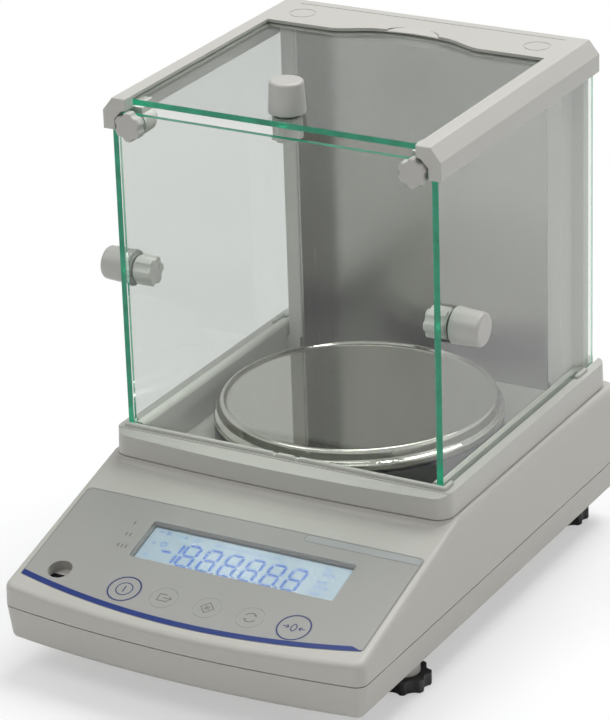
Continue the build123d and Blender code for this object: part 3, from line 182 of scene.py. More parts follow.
def moulded_group():
    """Moulded plastic: a fine spark-eroded grain as a normal, and slow changes of tone and gloss."""
    group, given, out = new_group(
        "moulded_grain",
        [("Grain Scale", 2200.0), ("Grain Depth", 0.1), ("Tone Change", 0.03)],
        [("Normal", "NodeSocketVector"), ("Tone", "NodeSocketFloat"), ("Gloss", "NodeSocketFloat")],
    )
    place = object_place(group)
    grain = group.nodes.new("ShaderNodeTexNoise")
    grain.inputs["Detail"].default_value = 2.0
    link(group, place, grain.inputs["Vector"])
    link(group, given.outputs["Grain Scale"], grain.inputs["Scale"])
    bump = group.nodes.new("ShaderNodeBump")
    bump.inputs["Distance"].default_value = 0.00006
    link(group, given.outputs["Grain Depth"], bump.inputs["Strength"])
    link(group, grain.outputs["Fac"], bump.inputs["Height"])
    slow = group.nodes.new("ShaderNodeTexNoise")
    slow.inputs["Scale"].default_value = 9.0
    slow.inputs["Detail"].default_value = 3.0
    link(group, place, slow.inputs["Vector"])
    swing = math_node(group, "SUBTRACT", slow.outputs["Fac"], 0.5)
    tone = math_node(group, "MULTIPLY", swing, given.outputs["Tone Change"])
    link(group, bump.outputs["Normal"], out.inputs["Normal"])
    link(group, math_node(group, "ADD", tone, 1.0), out.inputs["Tone"])
    link(group, swing, out.inputs["Gloss"])
    return group


def brushed_group():
    """Brushed sheet: noise drawn out along Z as fine lines, for the normal and the gloss."""
    group, given, out = new_group(
        "brushed_lines",
        [("Line Scale", 900.0), ("Line Depth", 0.1)],
        [("Normal", "NodeSocketVector"), ("Gloss", "NodeSocketFloat")],
    )
    mapping = group.nodes.new("ShaderNodeMapping")
    mapping.inputs["Scale"].default_value = (1.0, 1.0, 0.012)
    link(group, object_place(group), mapping.inputs["Vector"])
    lines = group.nodes.new("ShaderNodeTexNoise")
    lines.inputs["Detail"].default_value = 3.0
    link(group, mapping.outputs["Vector"], lines.inputs["Vector"])
    link(group, given.outputs["Line Scale"], lines.inputs["Scale"])
    bump = group.nodes.new("ShaderNodeBump")
    bump.inputs["Distance"].default_value = 0.00003
    link(group, given.outputs["Line Depth"], bump.inputs["Strength"])
    link(group, lines.outputs["Fac"], bump.inputs["Height"])
    link(group, bump.outputs["Normal"], out.inputs["Normal"])
    link(group, math_node(group, "SUBTRACT", lines.outputs["Fac"], 0.5), out.inputs["Gloss"])
    return group


def edge_group():
    """Tells a glass plate's narrow edges from its two clear faces, by the face's direction.

    The three outputs are 1 on an edge, one for each axis that a plate may face."""
    group, _, out = new_group(
        "plate_edges", [], [("Facing X", "NodeSocketFloat"), ("Facing Y", "NodeSocketFloat"),
                            ("Facing Z", "NodeSocketFloat")])
    geometry = group.nodes.new("ShaderNodeNewGeometry")
    turn = group.nodes.new("ShaderNodeVectorTransform")
    turn.vector_type, turn.convert_from, turn.convert_to = "NORMAL", "WORLD", "OBJECT"
    link(group, geometry.outputs["True Normal"], turn.inputs[0])
    parts = group.nodes.new("ShaderNodeSeparateXYZ")
    link(group, turn.outputs[0], parts.inputs[0])
    for axis in "XYZ":
        size = math_node(group, "ABSOLUTE", parts.outputs[axis])
        link(group, math_node(group, "LESS_THAN", size, 0.7), out.inputs[f"Facing {axis}"])
    return group


moulded = moulded_group()
brushed = brushed_group()
plate_edges = edge_group()


def material(name):
    """A new node material and its Principled shader."""
    mat = bpy.data.materials.new(name)
    mat.use_nodes = True
    return mat, mat.node_tree, mat.node_tree.nodes["Principled BSDF"]


def tinted(tree, color, factor):
    """A colour times a factor that changes over the surface."""
    mix = tree.nodes.new("ShaderNodeMix")
    mix.data_type, mix.blend_type = "RGBA", "MULTIPLY"
    mix.inputs[0].default_value = 1.0
    mix.inputs[6].default_value = (*color, 1.0)
    link(tree, factor, mix.inputs[7])
    return mix.outputs[2]


def plastic(name, color, roughness, grain_scale=2200.0, grain_depth=0.12, tone=0.04, specular=0.5):
    """Moulded plastic with its grain, tone and gloss from the moulded group."""
    mat, tree, shader = material(name)
    grain = tree.nodes.new("ShaderNodeGroup")
    grain.node_tree = moulded
    grain.inputs["Grain Scale"].default_value = grain_scale
    grain.inputs["Grain Depth"].default_value = grain_depth
    grain.inputs["Tone Change"].default_value = tone
    link(tree, tinted(tree, color, grain.outputs["Tone"]), shader.inputs["Base Color"])
    gloss = math_node(tree, "MULTIPLY", grain.outputs["Gloss"], 0.12)
    link(tree, math_node(tree, "ADD", gloss, roughness), shader.inputs["Roughness"])
    link(tree, grain.outputs["Normal"], shader.inputs["Normal"])
    shader.inputs["Specular IOR Level"].default_value = specular
    return mat


def metal(name, color, roughness, line_scale=900.0, line_depth=0.1, gloss_change=0.06):
    """Metal with drawn lines from the brushed group."""
    mat, tree, shader = material(name)
    lines = tree.nodes.new("ShaderNodeGroup")
    lines.node_tree = brushed
    lines.inputs["Line Scale"].default_value = line_scale
    lines.inputs["Line Depth"].default_value = line_depth
    shader.inputs["Base Color"].default_value = (*color, 1.0)
    shader.inputs["Metallic"].default_value = 1.0
    gloss = math_node(tree, "MULTIPLY", lines.outputs["Gloss"], gloss_change)
    link(tree, math_node(tree, "ADD", gloss, roughness), shader.inputs["Roughness"])
    link(tree, lines.outputs["Normal"], shader.inputs["Normal"])
    return mat


def glass_plate(name, facing):
    """Clear float glass whose narrow edges look green; it lets lamps through. The edges' green is partly the
    glass's own tint and partly painted light: the edges glow with it by emission, and noise between a dark
    and a bright green paints highlights along them.
    """
    mat, tree, shader = material(name)
    edges = tree.nodes.new("ShaderNodeGroup")
    edges.node_tree = plate_edges
    on_edge = edges.outputs[f"Facing {facing}"]
    # Painted highlights: noise between dark and bright green along the edges, standing in for light carried
    # inside the glass
    painted_edge_glints = tree.nodes.new("ShaderNodeTexNoise")
    painted_edge_glints.inputs["Scale"].default_value = 140.0
    painted_edge_glints.inputs["Detail"].default_value = 4.0
    link(tree, object_place(tree), painted_edge_glints.inputs["Vector"])
    green = tree.nodes.new("ShaderNodeMix")
    green.data_type = "RGBA"
    green.inputs[6].default_value = EDGE_DARK
    green.inputs[7].default_value = EDGE_PAINTED_HIGHLIGHT
    link(tree, painted_edge_glints.outputs["Fac"], green.inputs[0])
    tint = tree.nodes.new("ShaderNodeMix")
    tint.data_type = "RGBA"
    tint.inputs[6].default_value = GLASS_TINT
    link(tree, on_edge, tint.inputs[0])
    link(tree, green.outputs[2], tint.inputs[7])
    link(tree, tint.outputs[2], shader.inputs["Base Color"])
    # Painted light: the edges glow with their green by emission, though the glass is no lamp
    glow = tree.nodes.new("ShaderNodeMix")
    glow.data_type = "RGBA"
    glow.inputs[6].default_value = (0.0, 0.0, 0.0, 1.0)
    link(tree, on_edge, glow.inputs[0])
    link(tree, green.outputs[2], glow.inputs[7])
    link(tree, glow.outputs[2], shader.inputs["Emission Color"])
    shader.inputs["Emission Strength"].default_value = 0.7
    shader.inputs["Roughness"].default_value = 0.0
    shader.inputs["IOR"].default_value = 1.5
    shader.inputs["Transmission Weight"].default_value = 1.0
    let_lamps_through(tree, shader, LAMP_TINT)
    return mat


def let_lamps_through(tree, shader, color):
    """Mixes in a clear shader for shadow rays alone, so that lamps light what is behind the glass."""
    clear = tree.nodes.new("ShaderNodeBsdfTransparent")
    clear.inputs["Color"].default_value = (*color, 1.0)
    path = tree.nodes.new("ShaderNodeLightPath")
    mix = tree.nodes.new("ShaderNodeMixShader")
    link(tree, path.outputs["Is Shadow Ray"], mix.inputs[0])
    link(tree, shader.outputs[0], mix.inputs[1])
    link(tree, clear.outputs[0], mix.inputs[2])
    link(tree, mix.outputs[0], tree.nodes["Material Output"].inputs["Surface"])


def clear_lens(name, color, roughness=0.02, alpha=1.0):
    """A clear moulded lens, with a slight change of tone, that lets lamps through."""
    mat, tree, shader = material(name)
    grain = tree.nodes.new("ShaderNodeGroup")
    grain.node_tree = moulded
    grain.inputs["Tone Change"].default_value = 0.02
    link(tree, tinted(tree, color, grain.outputs["Tone"]), shader.inputs["Base Color"])
    shader.inputs["Roughness"].default_value = roughness
    shader.inputs["IOR"].default_value = 1.46
    shader.inputs["Transmission Weight"].default_value = 1.0
    shader.inputs["Alpha"].default_value = alpha
    let_lamps_through(tree, shader, color)
    return mat


def lcd_finish():
    """The lit display: pale blue, a little darker towards its ends."""
    mat, tree, shader = material("lcd_glow")
    parts = tree.nodes.new("ShaderNodeSeparateXYZ")
    link(tree, object_place(tree), parts.inputs[0])
    away = math_node(tree, "ABSOLUTE", math_node(tree, "SUBTRACT", parts.outputs["X"], WINDOW_CENTER))
    share = math_node(tree, "MULTIPLY", away, 2 / WINDOW_WIDTH)
    dim = math_node(tree, "SUBTRACT", 1.0, math_node(tree, "MULTIPLY", share, 0.14))
    link(tree, tinted(tree, (0.26, 0.33, 0.37), dim), shader.inputs["Base Color"])
    link(tree, tinted(tree, (0.42, 0.52, 0.58), dim), shader.inputs["Emission Color"])
    shader.inputs["Emission Strength"].default_value = 0.42
    shader.inputs["Roughness"].default_value = 0.18
    return mat


def film_finish(name, color, roughness=0.42):
    """Satin printed film with a fine even grain."""
    return plastic(name, color, roughness, grain_scale=3600.0, grain_depth=0.05, tone=0.015, specular=0.4)


WARM_WHITE = (0.46, 0.447, 0.415)
materials = {
    "case_plastic": plastic("case_plastic", WARM_WHITE, 0.48, grain_depth=0.16),
    "shield_plastic": plastic("shield_plastic", (0.47, 0.462, 0.43), 0.42, grain_depth=0.08),
    "knob_plastic": plastic("knob_plastic", (0.45, 0.44, 0.415), 0.38, grain_depth=0.08),
    "stainless": metal("polished_steel", (0.47, 0.465, 0.42), 0.045, line_scale=500.0, line_depth=0.015,
                       gloss_change=0.01),
    "wall_steel": metal("wall_steel", (0.38, 0.38, 0.35), 0.26, line_scale=1400.0, line_depth=0.12),
    "black_plastic": plastic("black_plastic", (0.022, 0.022, 0.024), 0.36, grain_depth=0.3),
    "overlay_film": film_finish("overlay_film", (0.325, 0.32, 0.305)),
    "window_lens": clear_lens("window_lens", (0.93, 0.96, 0.98), 0.05, 0.15),
    "lcd_glass": lcd_finish(),
    "level_glass": clear_lens("level_glass", (0.14, 0.15, 0.14), 0.05),
    "level_body": plastic("level_body", (0.045, 0.045, 0.05), 0.4),
    "board": plastic("board_laminate", (0.02, 0.10, 0.045), 0.35, grain_scale=700.0, grain_depth=0.3,
                     tone=0.3),
    "zinc_steel": metal("zinc_steel", (0.62, 0.62, 0.63), 0.32, line_depth=0.2),
    "brass": metal("turned_brass", (0.68, 0.49, 0.20), 0.28, line_depth=0.2),
    "cast_aluminium": metal("cast_aluminium", (0.66, 0.67, 0.68), 0.42, line_scale=1500.0, line_depth=0.3),
    "rubber": plastic("soft_rubber", (0.03, 0.03, 0.03), 0.75, grain_depth=0.4),
    "ribbon": plastic("ribbon_sheath", (0.42, 0.42, 0.43), 0.5),
}
glass_facing = {
    "right_door_glass": "X",
    "left_door_glass": "X",
    "front_glass": "Y",
    "top_door_glass": "Z",
}
glass_finishes = {axis: glass_plate(f"glass_facing_{axis.lower()}", axis) for axis in "XYZ"}


def dress_nodes():
    """Each CAD node takes the finish of its slot; a glass plate takes the one for its facing."""
    for part in frame["record"]["subparts"]:
        name = part["node"]
        if name in glass_facing:
            finish = glass_finishes[glass_facing[name]]
        else:
            finish = materials[part["material_slot"]]
        obj = nodes[name]
        obj.data.materials.clear()
        obj.data.materials.append(finish)


# Printed marks: flat surfaces that lie on the panel, a hair above it

def panel_points(x, from_top, rise):
    """Places on the sloping panel: x, the way down the slope from the film's top edge, and the
    height above the film's face."""
    down = OVERLAY_START + from_top
    up = OVERLAY_RISE + rise
    y = PANEL_TOP[1] - down * math.cos(PANEL_SLOPE) - up * math.sin(PANEL_SLOPE)
    z = PANEL_TOP[2] - down * math.sin(PANEL_SLOPE) + up * math.cos(PANEL_SLOPE)
    return np.stack([x + 0 * y, y, z], axis=-1)


def dressed_mesh(name, points, faces, finish, body):
    """A piece from its points and faces, with its finish, that rides on a body."""
    mesh = bpy.data.meshes.new(name)
    mesh.from_pydata(points.tolist(), [], faces)
    mesh.materials.append(finish)
    mesh.update()
    obj = bpy.data.objects.new(name, mesh)
    bpy.context.scene.collection.objects.link(obj)
    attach(obj, body)
    return obj


def grid_mesh(name, points, finish, body, closed=False):
    """A piece from a grid of points (rows, columns, 3), in the way of a two-parameter surface.
    Its four-sided faces join neighbours along rows and columns; closed joins the last row to the first."""
    rows, columns = points.shape[:2]
    index = np.arange(rows * columns).reshape(rows, columns)
    after = np.roll(index, -1, axis=0) if closed else index[1:]
    first = index if closed else index[:-1]
    faces = np.stack([first[:, :-1], after[:, :-1], after[:, 1:], first[:, 1:]], axis=-1).reshape(-1, 4)
    return dressed_mesh(name, points.reshape(-1, 3), faces.tolist(), finish, body)


def flat_prints(name, outlines, finish, body, rise=PRINT_RISE, thick=0.00003):
    """Thin printed shapes as closed tablets. Each outline is a ring of (x, from_top) points; the tablet
    is its ring at two heights, with both ends shut by one flat face."""
    points, faces, start = [], [], 0
    for ring in outlines:
        ring = np.asarray(ring, float)
        signed = np.sum(ring[:, 0] * np.roll(ring[:, 1], -1) - np.roll(ring[:, 0], -1) * ring[:, 1])
        if signed > 0:
            ring = ring[::-1]
        count = len(ring)
        points.append(panel_points(ring[:, 0], ring[:, 1], rise - thick))
        points.append(panel_points(ring[:, 0], ring[:, 1], rise))
        low = start + np.arange(count)
        high = low + count
        faces.append(high.tolist())
        faces.append(low[::-1].tolist())
        sides = np.stack([low, np.roll(low, -1), np.roll(high, -1), high], axis=-1)
        faces += sides.tolist()
        start += 2 * count
    return dressed_mesh(name, np.concatenate(points), faces, finish, body)


def stroke(points, width):
    """The outline of a line of even width through the points (x, from_top): out along one side and
    back along the other, each point set off along its own mitred normal."""
    line = np.asarray(points, float)
    step = np.diff(line, axis=0)
    step /= np.linalg.norm(step, axis=1)[:, None]
    before = np.vstack([step[:1], step])
    after = np.vstack([step, step[-1:]])
    along = before + after
    along /= np.linalg.norm(along, axis=1)[:, None]
    normal = np.stack([-along[:, 1], along[:, 0]], axis=1)
    reach = width / 2 / np.clip(np.sum(along * after, axis=1), 0.4, 1)[:, None]
    return np.vstack([line + normal * reach, (line - normal * reach)[::-1]])


def arc(x, from_top, radius, start, end, steps=40):
    """Points on a circle's arc between two angles in degrees."""
    turn = np.radians(np.linspace(start, end, steps))
    return np.stack([x + radius * np.cos(turn), from_top + radius * np.sin(turn)], axis=1)


def ring_strip(x, from_top, radius, width):
    """A full ring as two half strokes, because a tablet has no hole."""
    return [stroke(arc(x, from_top, radius, start, start + 181), width) for start in (0, 180)]


ink_blue = film_finish("ink_blue", (0.018, 0.030, 0.135), 0.4)
stripe_blue = film_finish("stripe_blue", (0.010, 0.030, 0.17), 0.38)
ink_grey = film_finish("ink_grey", (0.13, 0.13, 0.13), 0.45)
line_grey = film_finish("line_grey", (0.22, 0.22, 0.21), 0.45)
strip_silver = film_finish("strip_silver", (0.335, 0.345, 0.345), 0.3)
segment_blue = film_finish("segment_blue", (0.09, 0.19, 0.55), 0.3)
segment_pale = film_finish("segment_pale", (0.17, 0.28, 0.52), 0.3)
# Painted shade of the window's bevel round the display
window_bevel_shade = film_finish("window_bevel_shade", (0.10, 0.115, 0.13), 0.3)


def stripe():
    """The blue stripe along the film's arched lower edge, which tapers to its right end."""
    half = OVERLAY_HALF_WIDTH - 0.0004
    x = np.linspace(-half, half, 97)
    sag = np.sqrt(OVERLAY_ARC ** 2 - x ** 2) - math.sqrt(OVERLAY_ARC ** 2 - OVERLAY_HALF_WIDTH ** 2)
    lower = OVERLAY_SIDE + sag - 0.0001
    width = 0.0033 * np.clip((half - x) / 0.006, 0.2, 1)
    outline = np.vstack([np.stack([x, lower], axis=1), np.stack([x, lower - width], axis=1)[::-1]])
    flat_prints("film_stripe", [outline], stripe_blue, "housing")


def film_border():
    """A thin grey line just inside the film's edge: its top and sides."""
    inset = 0.0005
    half = OVERLAY_HALF_WIDTH - inset
    points = [(-half, OVERLAY_SIDE), (-half, 0.003), (-half + 0.0025, inset), (half - 0.0025, inset),
              (half, 0.003), (half, OVERLAY_SIDE)]
    flat_prints("film_border", [stroke(points, 0.00035)], line_grey, "housing")


def label_strip():
    """The bare silver strip at the upper right of the film, with its thin frame."""
    left, right, low = 0.0307, OVERLAY_HALF_WIDTH - 0.0008, 0.0053
    flat_prints("label_strip", [[(left, 0.0009), (right, 0.0009), (right, low), (left, low)]],
                strip_silver, "housing")
    frame_line = [(right, low), (left + 0.001, low), (left, low - 0.0012), (left, 0.002),
                  (left + 0.001, 0.0008)]
    flat_prints("label_strip_line", [stroke(frame_line, 0.0003)], line_grey, "housing",
                rise=PRINT_RISE * 2)


def key_rings():
    """Blue rings on the two large keys, thin grey ones on the three small keys."""
    for name, (x, radius) in KEYS.items():
        if radius > LARGE_KEY_RADIUS:
            marks = ring_strip(x, KEY_LINE, radius - 0.0007, 0.00075)
            flat_prints(f"{name}_ring", marks, ink_blue, name)
        else:
            marks = ring_strip(x, KEY_LINE, radius - 0.0004, 0.00022)
            flat_prints(f"{name}_ring", marks, strip_silver, name)


def key_icons():
    """Plain signs on the keys: power, an arrow out of a sheet, a menu lozenge, a swap and zero."""
    y = KEY_LINE
    x = KEYS["key_power"][0]
    power = ring_strip(x, y, 0.0042, 0.00055)
    power.append(stroke([(x, y - 0.0021), (x, y + 0.0021)], 0.0006))
    flat_prints("key_power_sign", power, ink_blue, "key_power")
    x = KEYS["key_print"][0]
    sheet = [(x + 0.0010, y - 0.0022), (x - 0.0030, y - 0.0022), (x - 0.0030, y + 0.0022),
             (x + 0.0024, y + 0.0022), (x + 0.0024, y + 0.0014)]
    arrow = [stroke([(x - 0.0006, y), (x + 0.0038, y)], 0.00045),
             stroke([(x + 0.0026, y - 0.0013), (x + 0.0040, y), (x + 0.0026, y + 0.0013)], 0.00045)]
    flat_prints("key_print_sign", [stroke(sheet, 0.00045)] + arrow, ink_grey, "key_print")
    x = KEYS["key_set"][0]
    lozenge = [(x, y - 0.0036), (x + 0.0036, y), (x, y + 0.0036), (x - 0.0036, y)]
    sides = [stroke([lozenge[k], lozenge[(k + 1) % 4]], 0.00045) for k in range(4)]
    bars = [stroke([(x - 0.0013, y + step), (x + 0.0013, y + step)], 0.0004)
            for step in (-0.0008, 0.0, 0.0008)]
    flat_prints("key_set_sign", sides + bars, ink_grey, "key_set")
    x = KEYS["key_function"][0]
    swap = []
    for side in (-1, 1):
        bend = arc(x, y, 0.0030, 200 if side < 0 else 20, 330 if side < 0 else 150, 16)
        swap.append(stroke(bend, 0.00045))
        tip = bend[-1]
        head = [tip + (-0.0012 * -side, -0.0013 * -side), tip, tip + (0.0013 * side, -0.0004)]
        swap.append(stroke(head, 0.00045))
    flat_prints("key_function_sign", swap, ink_grey, "key_function")
    x = KEYS["key_tare"][0]
    oval = np.stack([x + 0.0013 * np.cos(np.linspace(0, 2.02 * np.pi, 26)),
                     y + 0.0023 * np.sin(np.linspace(0, 2.02 * np.pi, 26))], axis=1)
    tare = [stroke(oval[:14], 0.00055), stroke(oval[12:], 0.00055)]
    for side in (-1, 1):
        tare.append(stroke([(x + side * 0.0058, y), (x + side * 0.0029, y)], 0.0005))
        tare.append(stroke([(x + side * 0.0040, y - 0.0012), (x + side * 0.0027, y),
                            (x + side * 0.0040, y + 0.0012)], 0.0005))
    flat_prints("key_tare_sign", tare, ink_blue, "key_tare")


SEGMENTS = {
    "top": ((0.04, 0.0), (0.96, 0.0)),
    "middle": ((0.04, 0.5), (0.96, 0.5)),
    "bottom": ((0.04, 1.0), (0.96, 1.0)),
    "left_high": ((0.0, 0.03), (0.0, 0.47)),
    "right_high": ((1.0, 0.03), (1.0, 0.47)),
    "left_low": ((0.0, 0.53), (0.0, 0.97)),
    "right_low": ((1.0, 0.53), (1.0, 0.97)),
}
DIGIT_WIDTH = 0.0072
DIGIT_HEIGHT = 0.0149
DIGIT_PITCH = 0.0118
DIGIT_TOP = 0.0226
DIGIT_SLANT = 0.0012
SEGMENT_WIDTH = 0.00155


def segment(left, top, width, height, ends, slant, thick):
    """One bar of a seven-segment digit: a six-sided bar with pointed ends."""
    (x0, y0), (x1, y1) = ends
    start = np.array((left + x0 * width, top + y0 * height))
    end = np.array((left + x1 * width, top + y1 * height))
    along = (end - start) / np.linalg.norm(end - start)
    across = np.array((-along[1], along[0])) * thick / 2
    tip = along * thick / 2
    ring = np.array([start, start + tip + across, end - tip + across,
                     end, end - tip - across, start + tip - across])
    ring[:, 0] += slant * (1 - (ring[:, 1] - top) / height)
    return ring


def display_digits():
    """Six lit digits with all their bars, a one and a sign before them, and the points between."""
    first = WINDOW_CENTER - 0.0330
    bars = []
    for place in range(6):
        left = first + place * DIGIT_PITCH
        bars += [segment(left, DIGIT_TOP, DIGIT_WIDTH, DIGIT_HEIGHT, ends, DIGIT_SLANT, SEGMENT_WIDTH)
                 for ends in SEGMENTS.values()]
        point = arc(left + DIGIT_WIDTH + 0.0022, DIGIT_TOP + DIGIT_HEIGHT - 0.0002, 0.0007, 0, 345, 12)
        if place < 5:
            bars.append(point)
    one = [segment(first - DIGIT_PITCH + 0.0022, DIGIT_TOP, DIGIT_WIDTH, DIGIT_HEIGHT, SEGMENTS[side],
                   DIGIT_SLANT, SEGMENT_WIDTH) for side in ("right_high", "right_low")]
    sign = [segment(first - DIGIT_PITCH - 0.0002, DIGIT_TOP, 0.0062, DIGIT_HEIGHT, SEGMENTS["middle"],
                    DIGIT_SLANT, SEGMENT_WIDTH)]
    flat_prints("display_digits", bars + one + sign, segment_blue, "housing", rise=DISPLAY_RISE)


def display_marks():
    """Small generic marks round the digits: pointers at the left, a bar scale above, dashes at the right."""
    left = WINDOW_LEFT
    marks = []
    for from_top in (0.0176, 0.0258, 0.0345):
        x = left + 0.0045
        marks.append([(x, from_top), (x + 0.0022, from_top - 0.0011), (x + 0.0022, from_top + 0.0011)])
    marks += ring_strip(left + 0.0112, 0.0256, 0.0015, 0.0008)
    for turn in (0, 45, 90, 135):
        across = np.array((math.cos(math.radians(turn)), math.sin(math.radians(turn)))) * 0.0018
        middle = np.array((left + 0.0098, 0.0178))
        marks.append(stroke([middle - across, middle + across], 0.0004))
    scale_left = WINDOW_CENTER - 0.0165
    marks += [stroke([(scale_left + k * 0.00135, 0.0178 - (0.0006 if k % 5 == 0 else 0)),
                      (scale_left + k * 0.00135, 0.0196)], 0.00055) for k in range(26)]
    marks += ring_strip(scale_left - 0.0021, 0.0186, 0.0009, 0.0005)
    for x in (left + 0.0185, left + 0.0255):
        marks.append(stroke([(x - 0.0026, 0.0182), (x + 0.0026, 0.0182)], 0.0006))
        marks.append([(x + 0.0012, 0.0170), (x + 0.0030, 0.0182), (x + 0.0012, 0.0194)])
    x = WINDOW_RIGHT - 0.0150
    for from_top, length in (
        (0.0176, 0.0042), (0.0212, 0.0066), (0.0266, 0.0052), (0.0302, 0.0068), (0.0348, 0.0060),
    ):
        pieces = int(length / 0.0016)
        marks += [[(x + k * 0.0019, from_top), (x + k * 0.0019 + 0.0012, from_top),
                   (x + k * 0.0019 + 0.0012, from_top + 0.0018), (x + k * 0.0019, from_top + 0.0018)]
                  for k in range(pieces)]
    flat_prints("display_marks", marks, segment_pale, "housing", rise=DISPLAY_RISE)


def display_bevel_shade():
    """Painted shade: dark strips just inside the window's outline, widest at the top, standing in for the
    shade of the window's bevel.
    """
    left, right = WINDOW_LEFT, WINDOW_RIGHT
    top, low = WINDOW_FROM_TOP, WINDOW_FROM_TOP + WINDOW_HEIGHT
    side, upper, lower = 0.0014, 0.0017, 0.0007
    strips = [[(x0, y0), (x1, y0), (x1, y1), (x0, y1)] for x0, x1, y0, y1 in (
        (left, right, top, top + upper),
        (left, right, low - lower, low),
        (left, left + side, top + upper, low - lower),
        (right - side, right, top + upper, low - lower),
    )]
    flat_prints("display_bevel_shade", strips, window_bevel_shade, "housing", rise=BEVEL_SHADE_RISE)


def pointer_marks():
    """Plain marks beside the window's pointers: rows of one, two and three short bars."""
    marks = []
    for row, from_top in enumerate((0.0166, 0.0250, 0.0334)):
        x = WINDOW_LEFT - 0.0090
        marks += [stroke([(x + k * 0.0022, from_top), (x + k * 0.0022, from_top + 0.0026)], 0.0006)
                  for k in range(row + 1)]
    flat_prints("pointer_marks", marks, ink_grey, "housing")


def level_bubble():
    """The level's bubble ring and target ring, seen in the cup under its window.

    Each is a torus: a small circle of the tube carried round a large one."""
    y = PANEL_TOP[1] - (OVERLAY_START + LEVEL_FROM_TOP) * math.cos(PANEL_SLOPE)
    vial_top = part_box("level_vial")[1][2]
    for name, radius, tube, finish in (
        ("level_target", 0.0034, 0.00012, "level_body"),
        ("level_air_bubble", 0.0021, 0.00022, "level_glass"),
    ):
        turn = np.linspace(0, 2 * np.pi, 48, endpoint=False)[:, None]
        round_tube = np.linspace(0, 2 * np.pi, 13)[None, :]
        reach = radius + tube * np.cos(round_tube)
        points = np.stack([
            LEVEL_X + reach * np.cos(turn),
            y + reach * np.sin(turn),
            vial_top + 0.0002 + tube * np.sin(round_tube) + 0 * turn,
        ], axis=-1)
        grid_mesh(name, points, materials[finish], "housing", closed=True)


def bevel_marks():
    """Two long oval outlines moulded on the frame's front bevel: a flat stroke round a slot's shape."""
    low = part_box("windshield_base")[0]
    slope_start = np.array((low[1] + 0.0012, 0.0880))
    slope_end = slope_start + np.array((0.0062, 0.0024))
    along = slope_end - slope_start
    middle = slope_start + along * 0.42
    along = along / np.linalg.norm(along)
    normal = np.array((-along[1], along[0]))
    turn = np.linspace(0, 2 * np.pi, 65)
    half_length, half_height, tube = 0.0120, 0.0015, 0.00013
    for side, name in ((-1, "left_bevel_mark"), (1, "right_bevel_mark")):
        x = side * 0.0575 + np.sign(np.cos(turn)) * (half_length - half_height) + half_height * np.cos(turn)
        up = half_height * np.sin(turn)
        ring = []
        for round_tube in np.linspace(0, 2 * np.pi, 7):
            grow = 1 + tube * math.cos(round_tube) / half_height
            height = tube * (0.2 + 0.5 * math.sin(round_tube))
            px = side * 0.0575 + (x - side * 0.0575) * (1 + tube * math.cos(round_tube) / half_length)
            py = middle[0] + along[0] * up * grow + normal[0] * height
            pz = middle[1] + along[1] * up * grow + normal[1] * height
            ring.append(np.stack([px, py, pz], axis=-1))
        grid_mesh(name, np.stack(ring, axis=1), materials["shield_plastic"], "housing")


# Floor, lights and world

def floor():
    """A pale floor that shows white to the camera away from the object's soft shadow."""
    mesh = bpy.data.meshes.new("floor")
    reach = FLOOR_REACH
    mesh.from_pydata([(-reach, -reach, 0), (reach, -reach, 0), (reach, reach, 0), (-reach, reach, 0)], [],
                     [(0, 1, 2, 3)])
    mat, tree, shader = material("floor_paper")
    shader.inputs["Base Color"].default_value = (0.80, 0.80, 0.80, 1.0)
    shader.inputs["Roughness"].default_value = 0.9
    shader.inputs["Specular IOR Level"].default_value = 0.1
    length = tree.nodes.new("ShaderNodeVectorMath")
    length.operation = "LENGTH"
    link(tree, object_place(tree), length.inputs[0])
    fade = tree.nodes.new("ShaderNodeMapRange")
    fade.inputs["From Min"].default_value = SHADOW_INNER
    fade.inputs["From Max"].default_value = SHADOW_OUTER
    fade.inputs["To Min"].default_value = 0.45
    link(tree, length.outputs["Value"], fade.inputs["Value"])
    path = tree.nodes.new("ShaderNodeLightPath")
    seen = math_node(tree, "MAXIMUM", path.outputs["Is Camera Ray"], path.outputs["Is Transmission Ray"])
    glow = tree.nodes.new("ShaderNodeEmission")
    glow.inputs["Strength"].default_value = 1.0
    mix = tree.nodes.new("ShaderNodeMixShader")
    link(tree, math_node(tree, "MULTIPLY", seen, fade.outputs["Result"]), mix.inputs[0])
    link(tree, shader.outputs[0], mix.inputs[1])
    link(tree, glow.outputs[0], mix.inputs[2])
    link(tree, mix.outputs[0], tree.nodes["Material Output"].inputs["Surface"])
    mesh.materials.append(mat)
    obj = bpy.data.objects.new("floor", mesh)
    bpy.context.scene.collection.objects.link(obj)


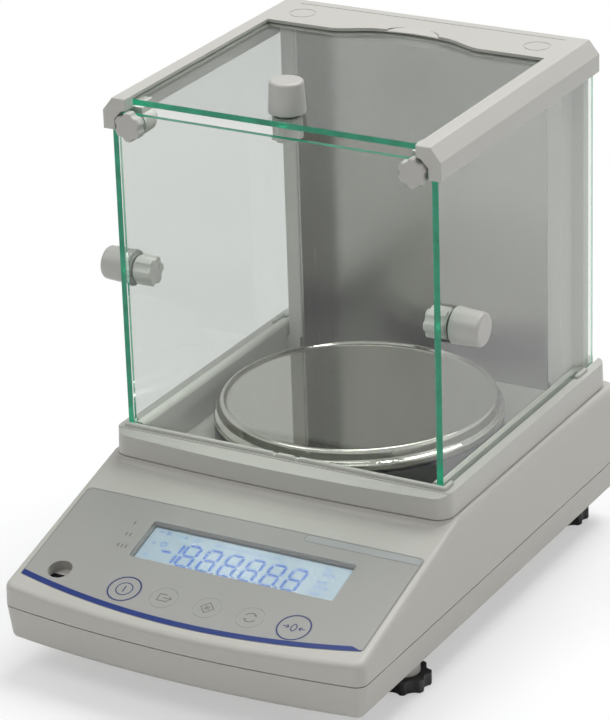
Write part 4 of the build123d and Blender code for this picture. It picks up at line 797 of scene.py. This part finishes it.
def soft_light(name, place, aim, size, power):
    """A square lamp at a place, turned to the point that it lights."""
    data = bpy.data.lights.new(name, "AREA")
    data.size = size
    data.energy = power
    obj = bpy.data.objects.new(name, data)
    obj.location = place
    obj.rotation_euler = (Vector(aim) - Vector(place)).to_track_quat("-Z", "Y").to_euler()
    bpy.context.scene.collection.objects.link(obj)


def world():
    """A grey room for light and reflections, and plain white where the camera sees it."""
    scene_world = bpy.data.worlds.new("studio")
    bpy.context.scene.world = scene_world
    scene_world.use_nodes = True
    tree = scene_world.node_tree
    room = tree.nodes["Background"]
    direction = tree.nodes.new("ShaderNodeTexCoord")
    parts = tree.nodes.new("ShaderNodeSeparateXYZ")
    link(tree, direction.outputs["Generated"], parts.inputs[0])
    ramp = tree.nodes.new("ShaderNodeValToRGB")
    ramp.color_ramp.elements[0].position = 0.42
    ramp.color_ramp.elements[0].color = (0.30, 0.30, 0.29, 1.0)
    ramp.color_ramp.elements[1].position = 0.95
    ramp.color_ramp.elements[1].color = (0.62, 0.63, 0.64, 1.0)
    height = math_node(tree, "ADD", math_node(tree, "MULTIPLY", parts.outputs["Z"], 0.5), 0.5)
    link(tree, height, ramp.inputs[0])
    link(tree, ramp.outputs[0], room.inputs["Color"])
    room.inputs["Strength"].default_value = 0.6
    white = tree.nodes.new("ShaderNodeBackground")
    white.inputs["Strength"].default_value = 1.0
    white.inputs["Color"].default_value = (1.0, 1.0, 1.0, 1.0)
    path = tree.nodes.new("ShaderNodeLightPath")
    seen = math_node(tree, "MAXIMUM", path.outputs["Is Camera Ray"], path.outputs["Is Transmission Ray"])
    mix = tree.nodes.new("ShaderNodeMixShader")
    link(tree, seen, mix.inputs[0])
    link(tree, room.outputs[0], mix.inputs[1])
    link(tree, white.outputs[0], mix.inputs[2])
    link(tree, mix.outputs[0], tree.nodes["World Output"].inputs["Surface"])


def lights():
    """The soft lamps round the object."""
    for lamp in LAMPS:
        soft_light(*lamp)


camera()
dress_nodes()
stripe()
film_border()
label_strip()
key_rings()
key_icons()
display_digits()
display_bevel_shade()
display_marks()
pointer_marks()
level_bubble()
bevel_marks()
floor()
world()
lights()
bpy.context.scene.view_settings.view_transform = "Standard"
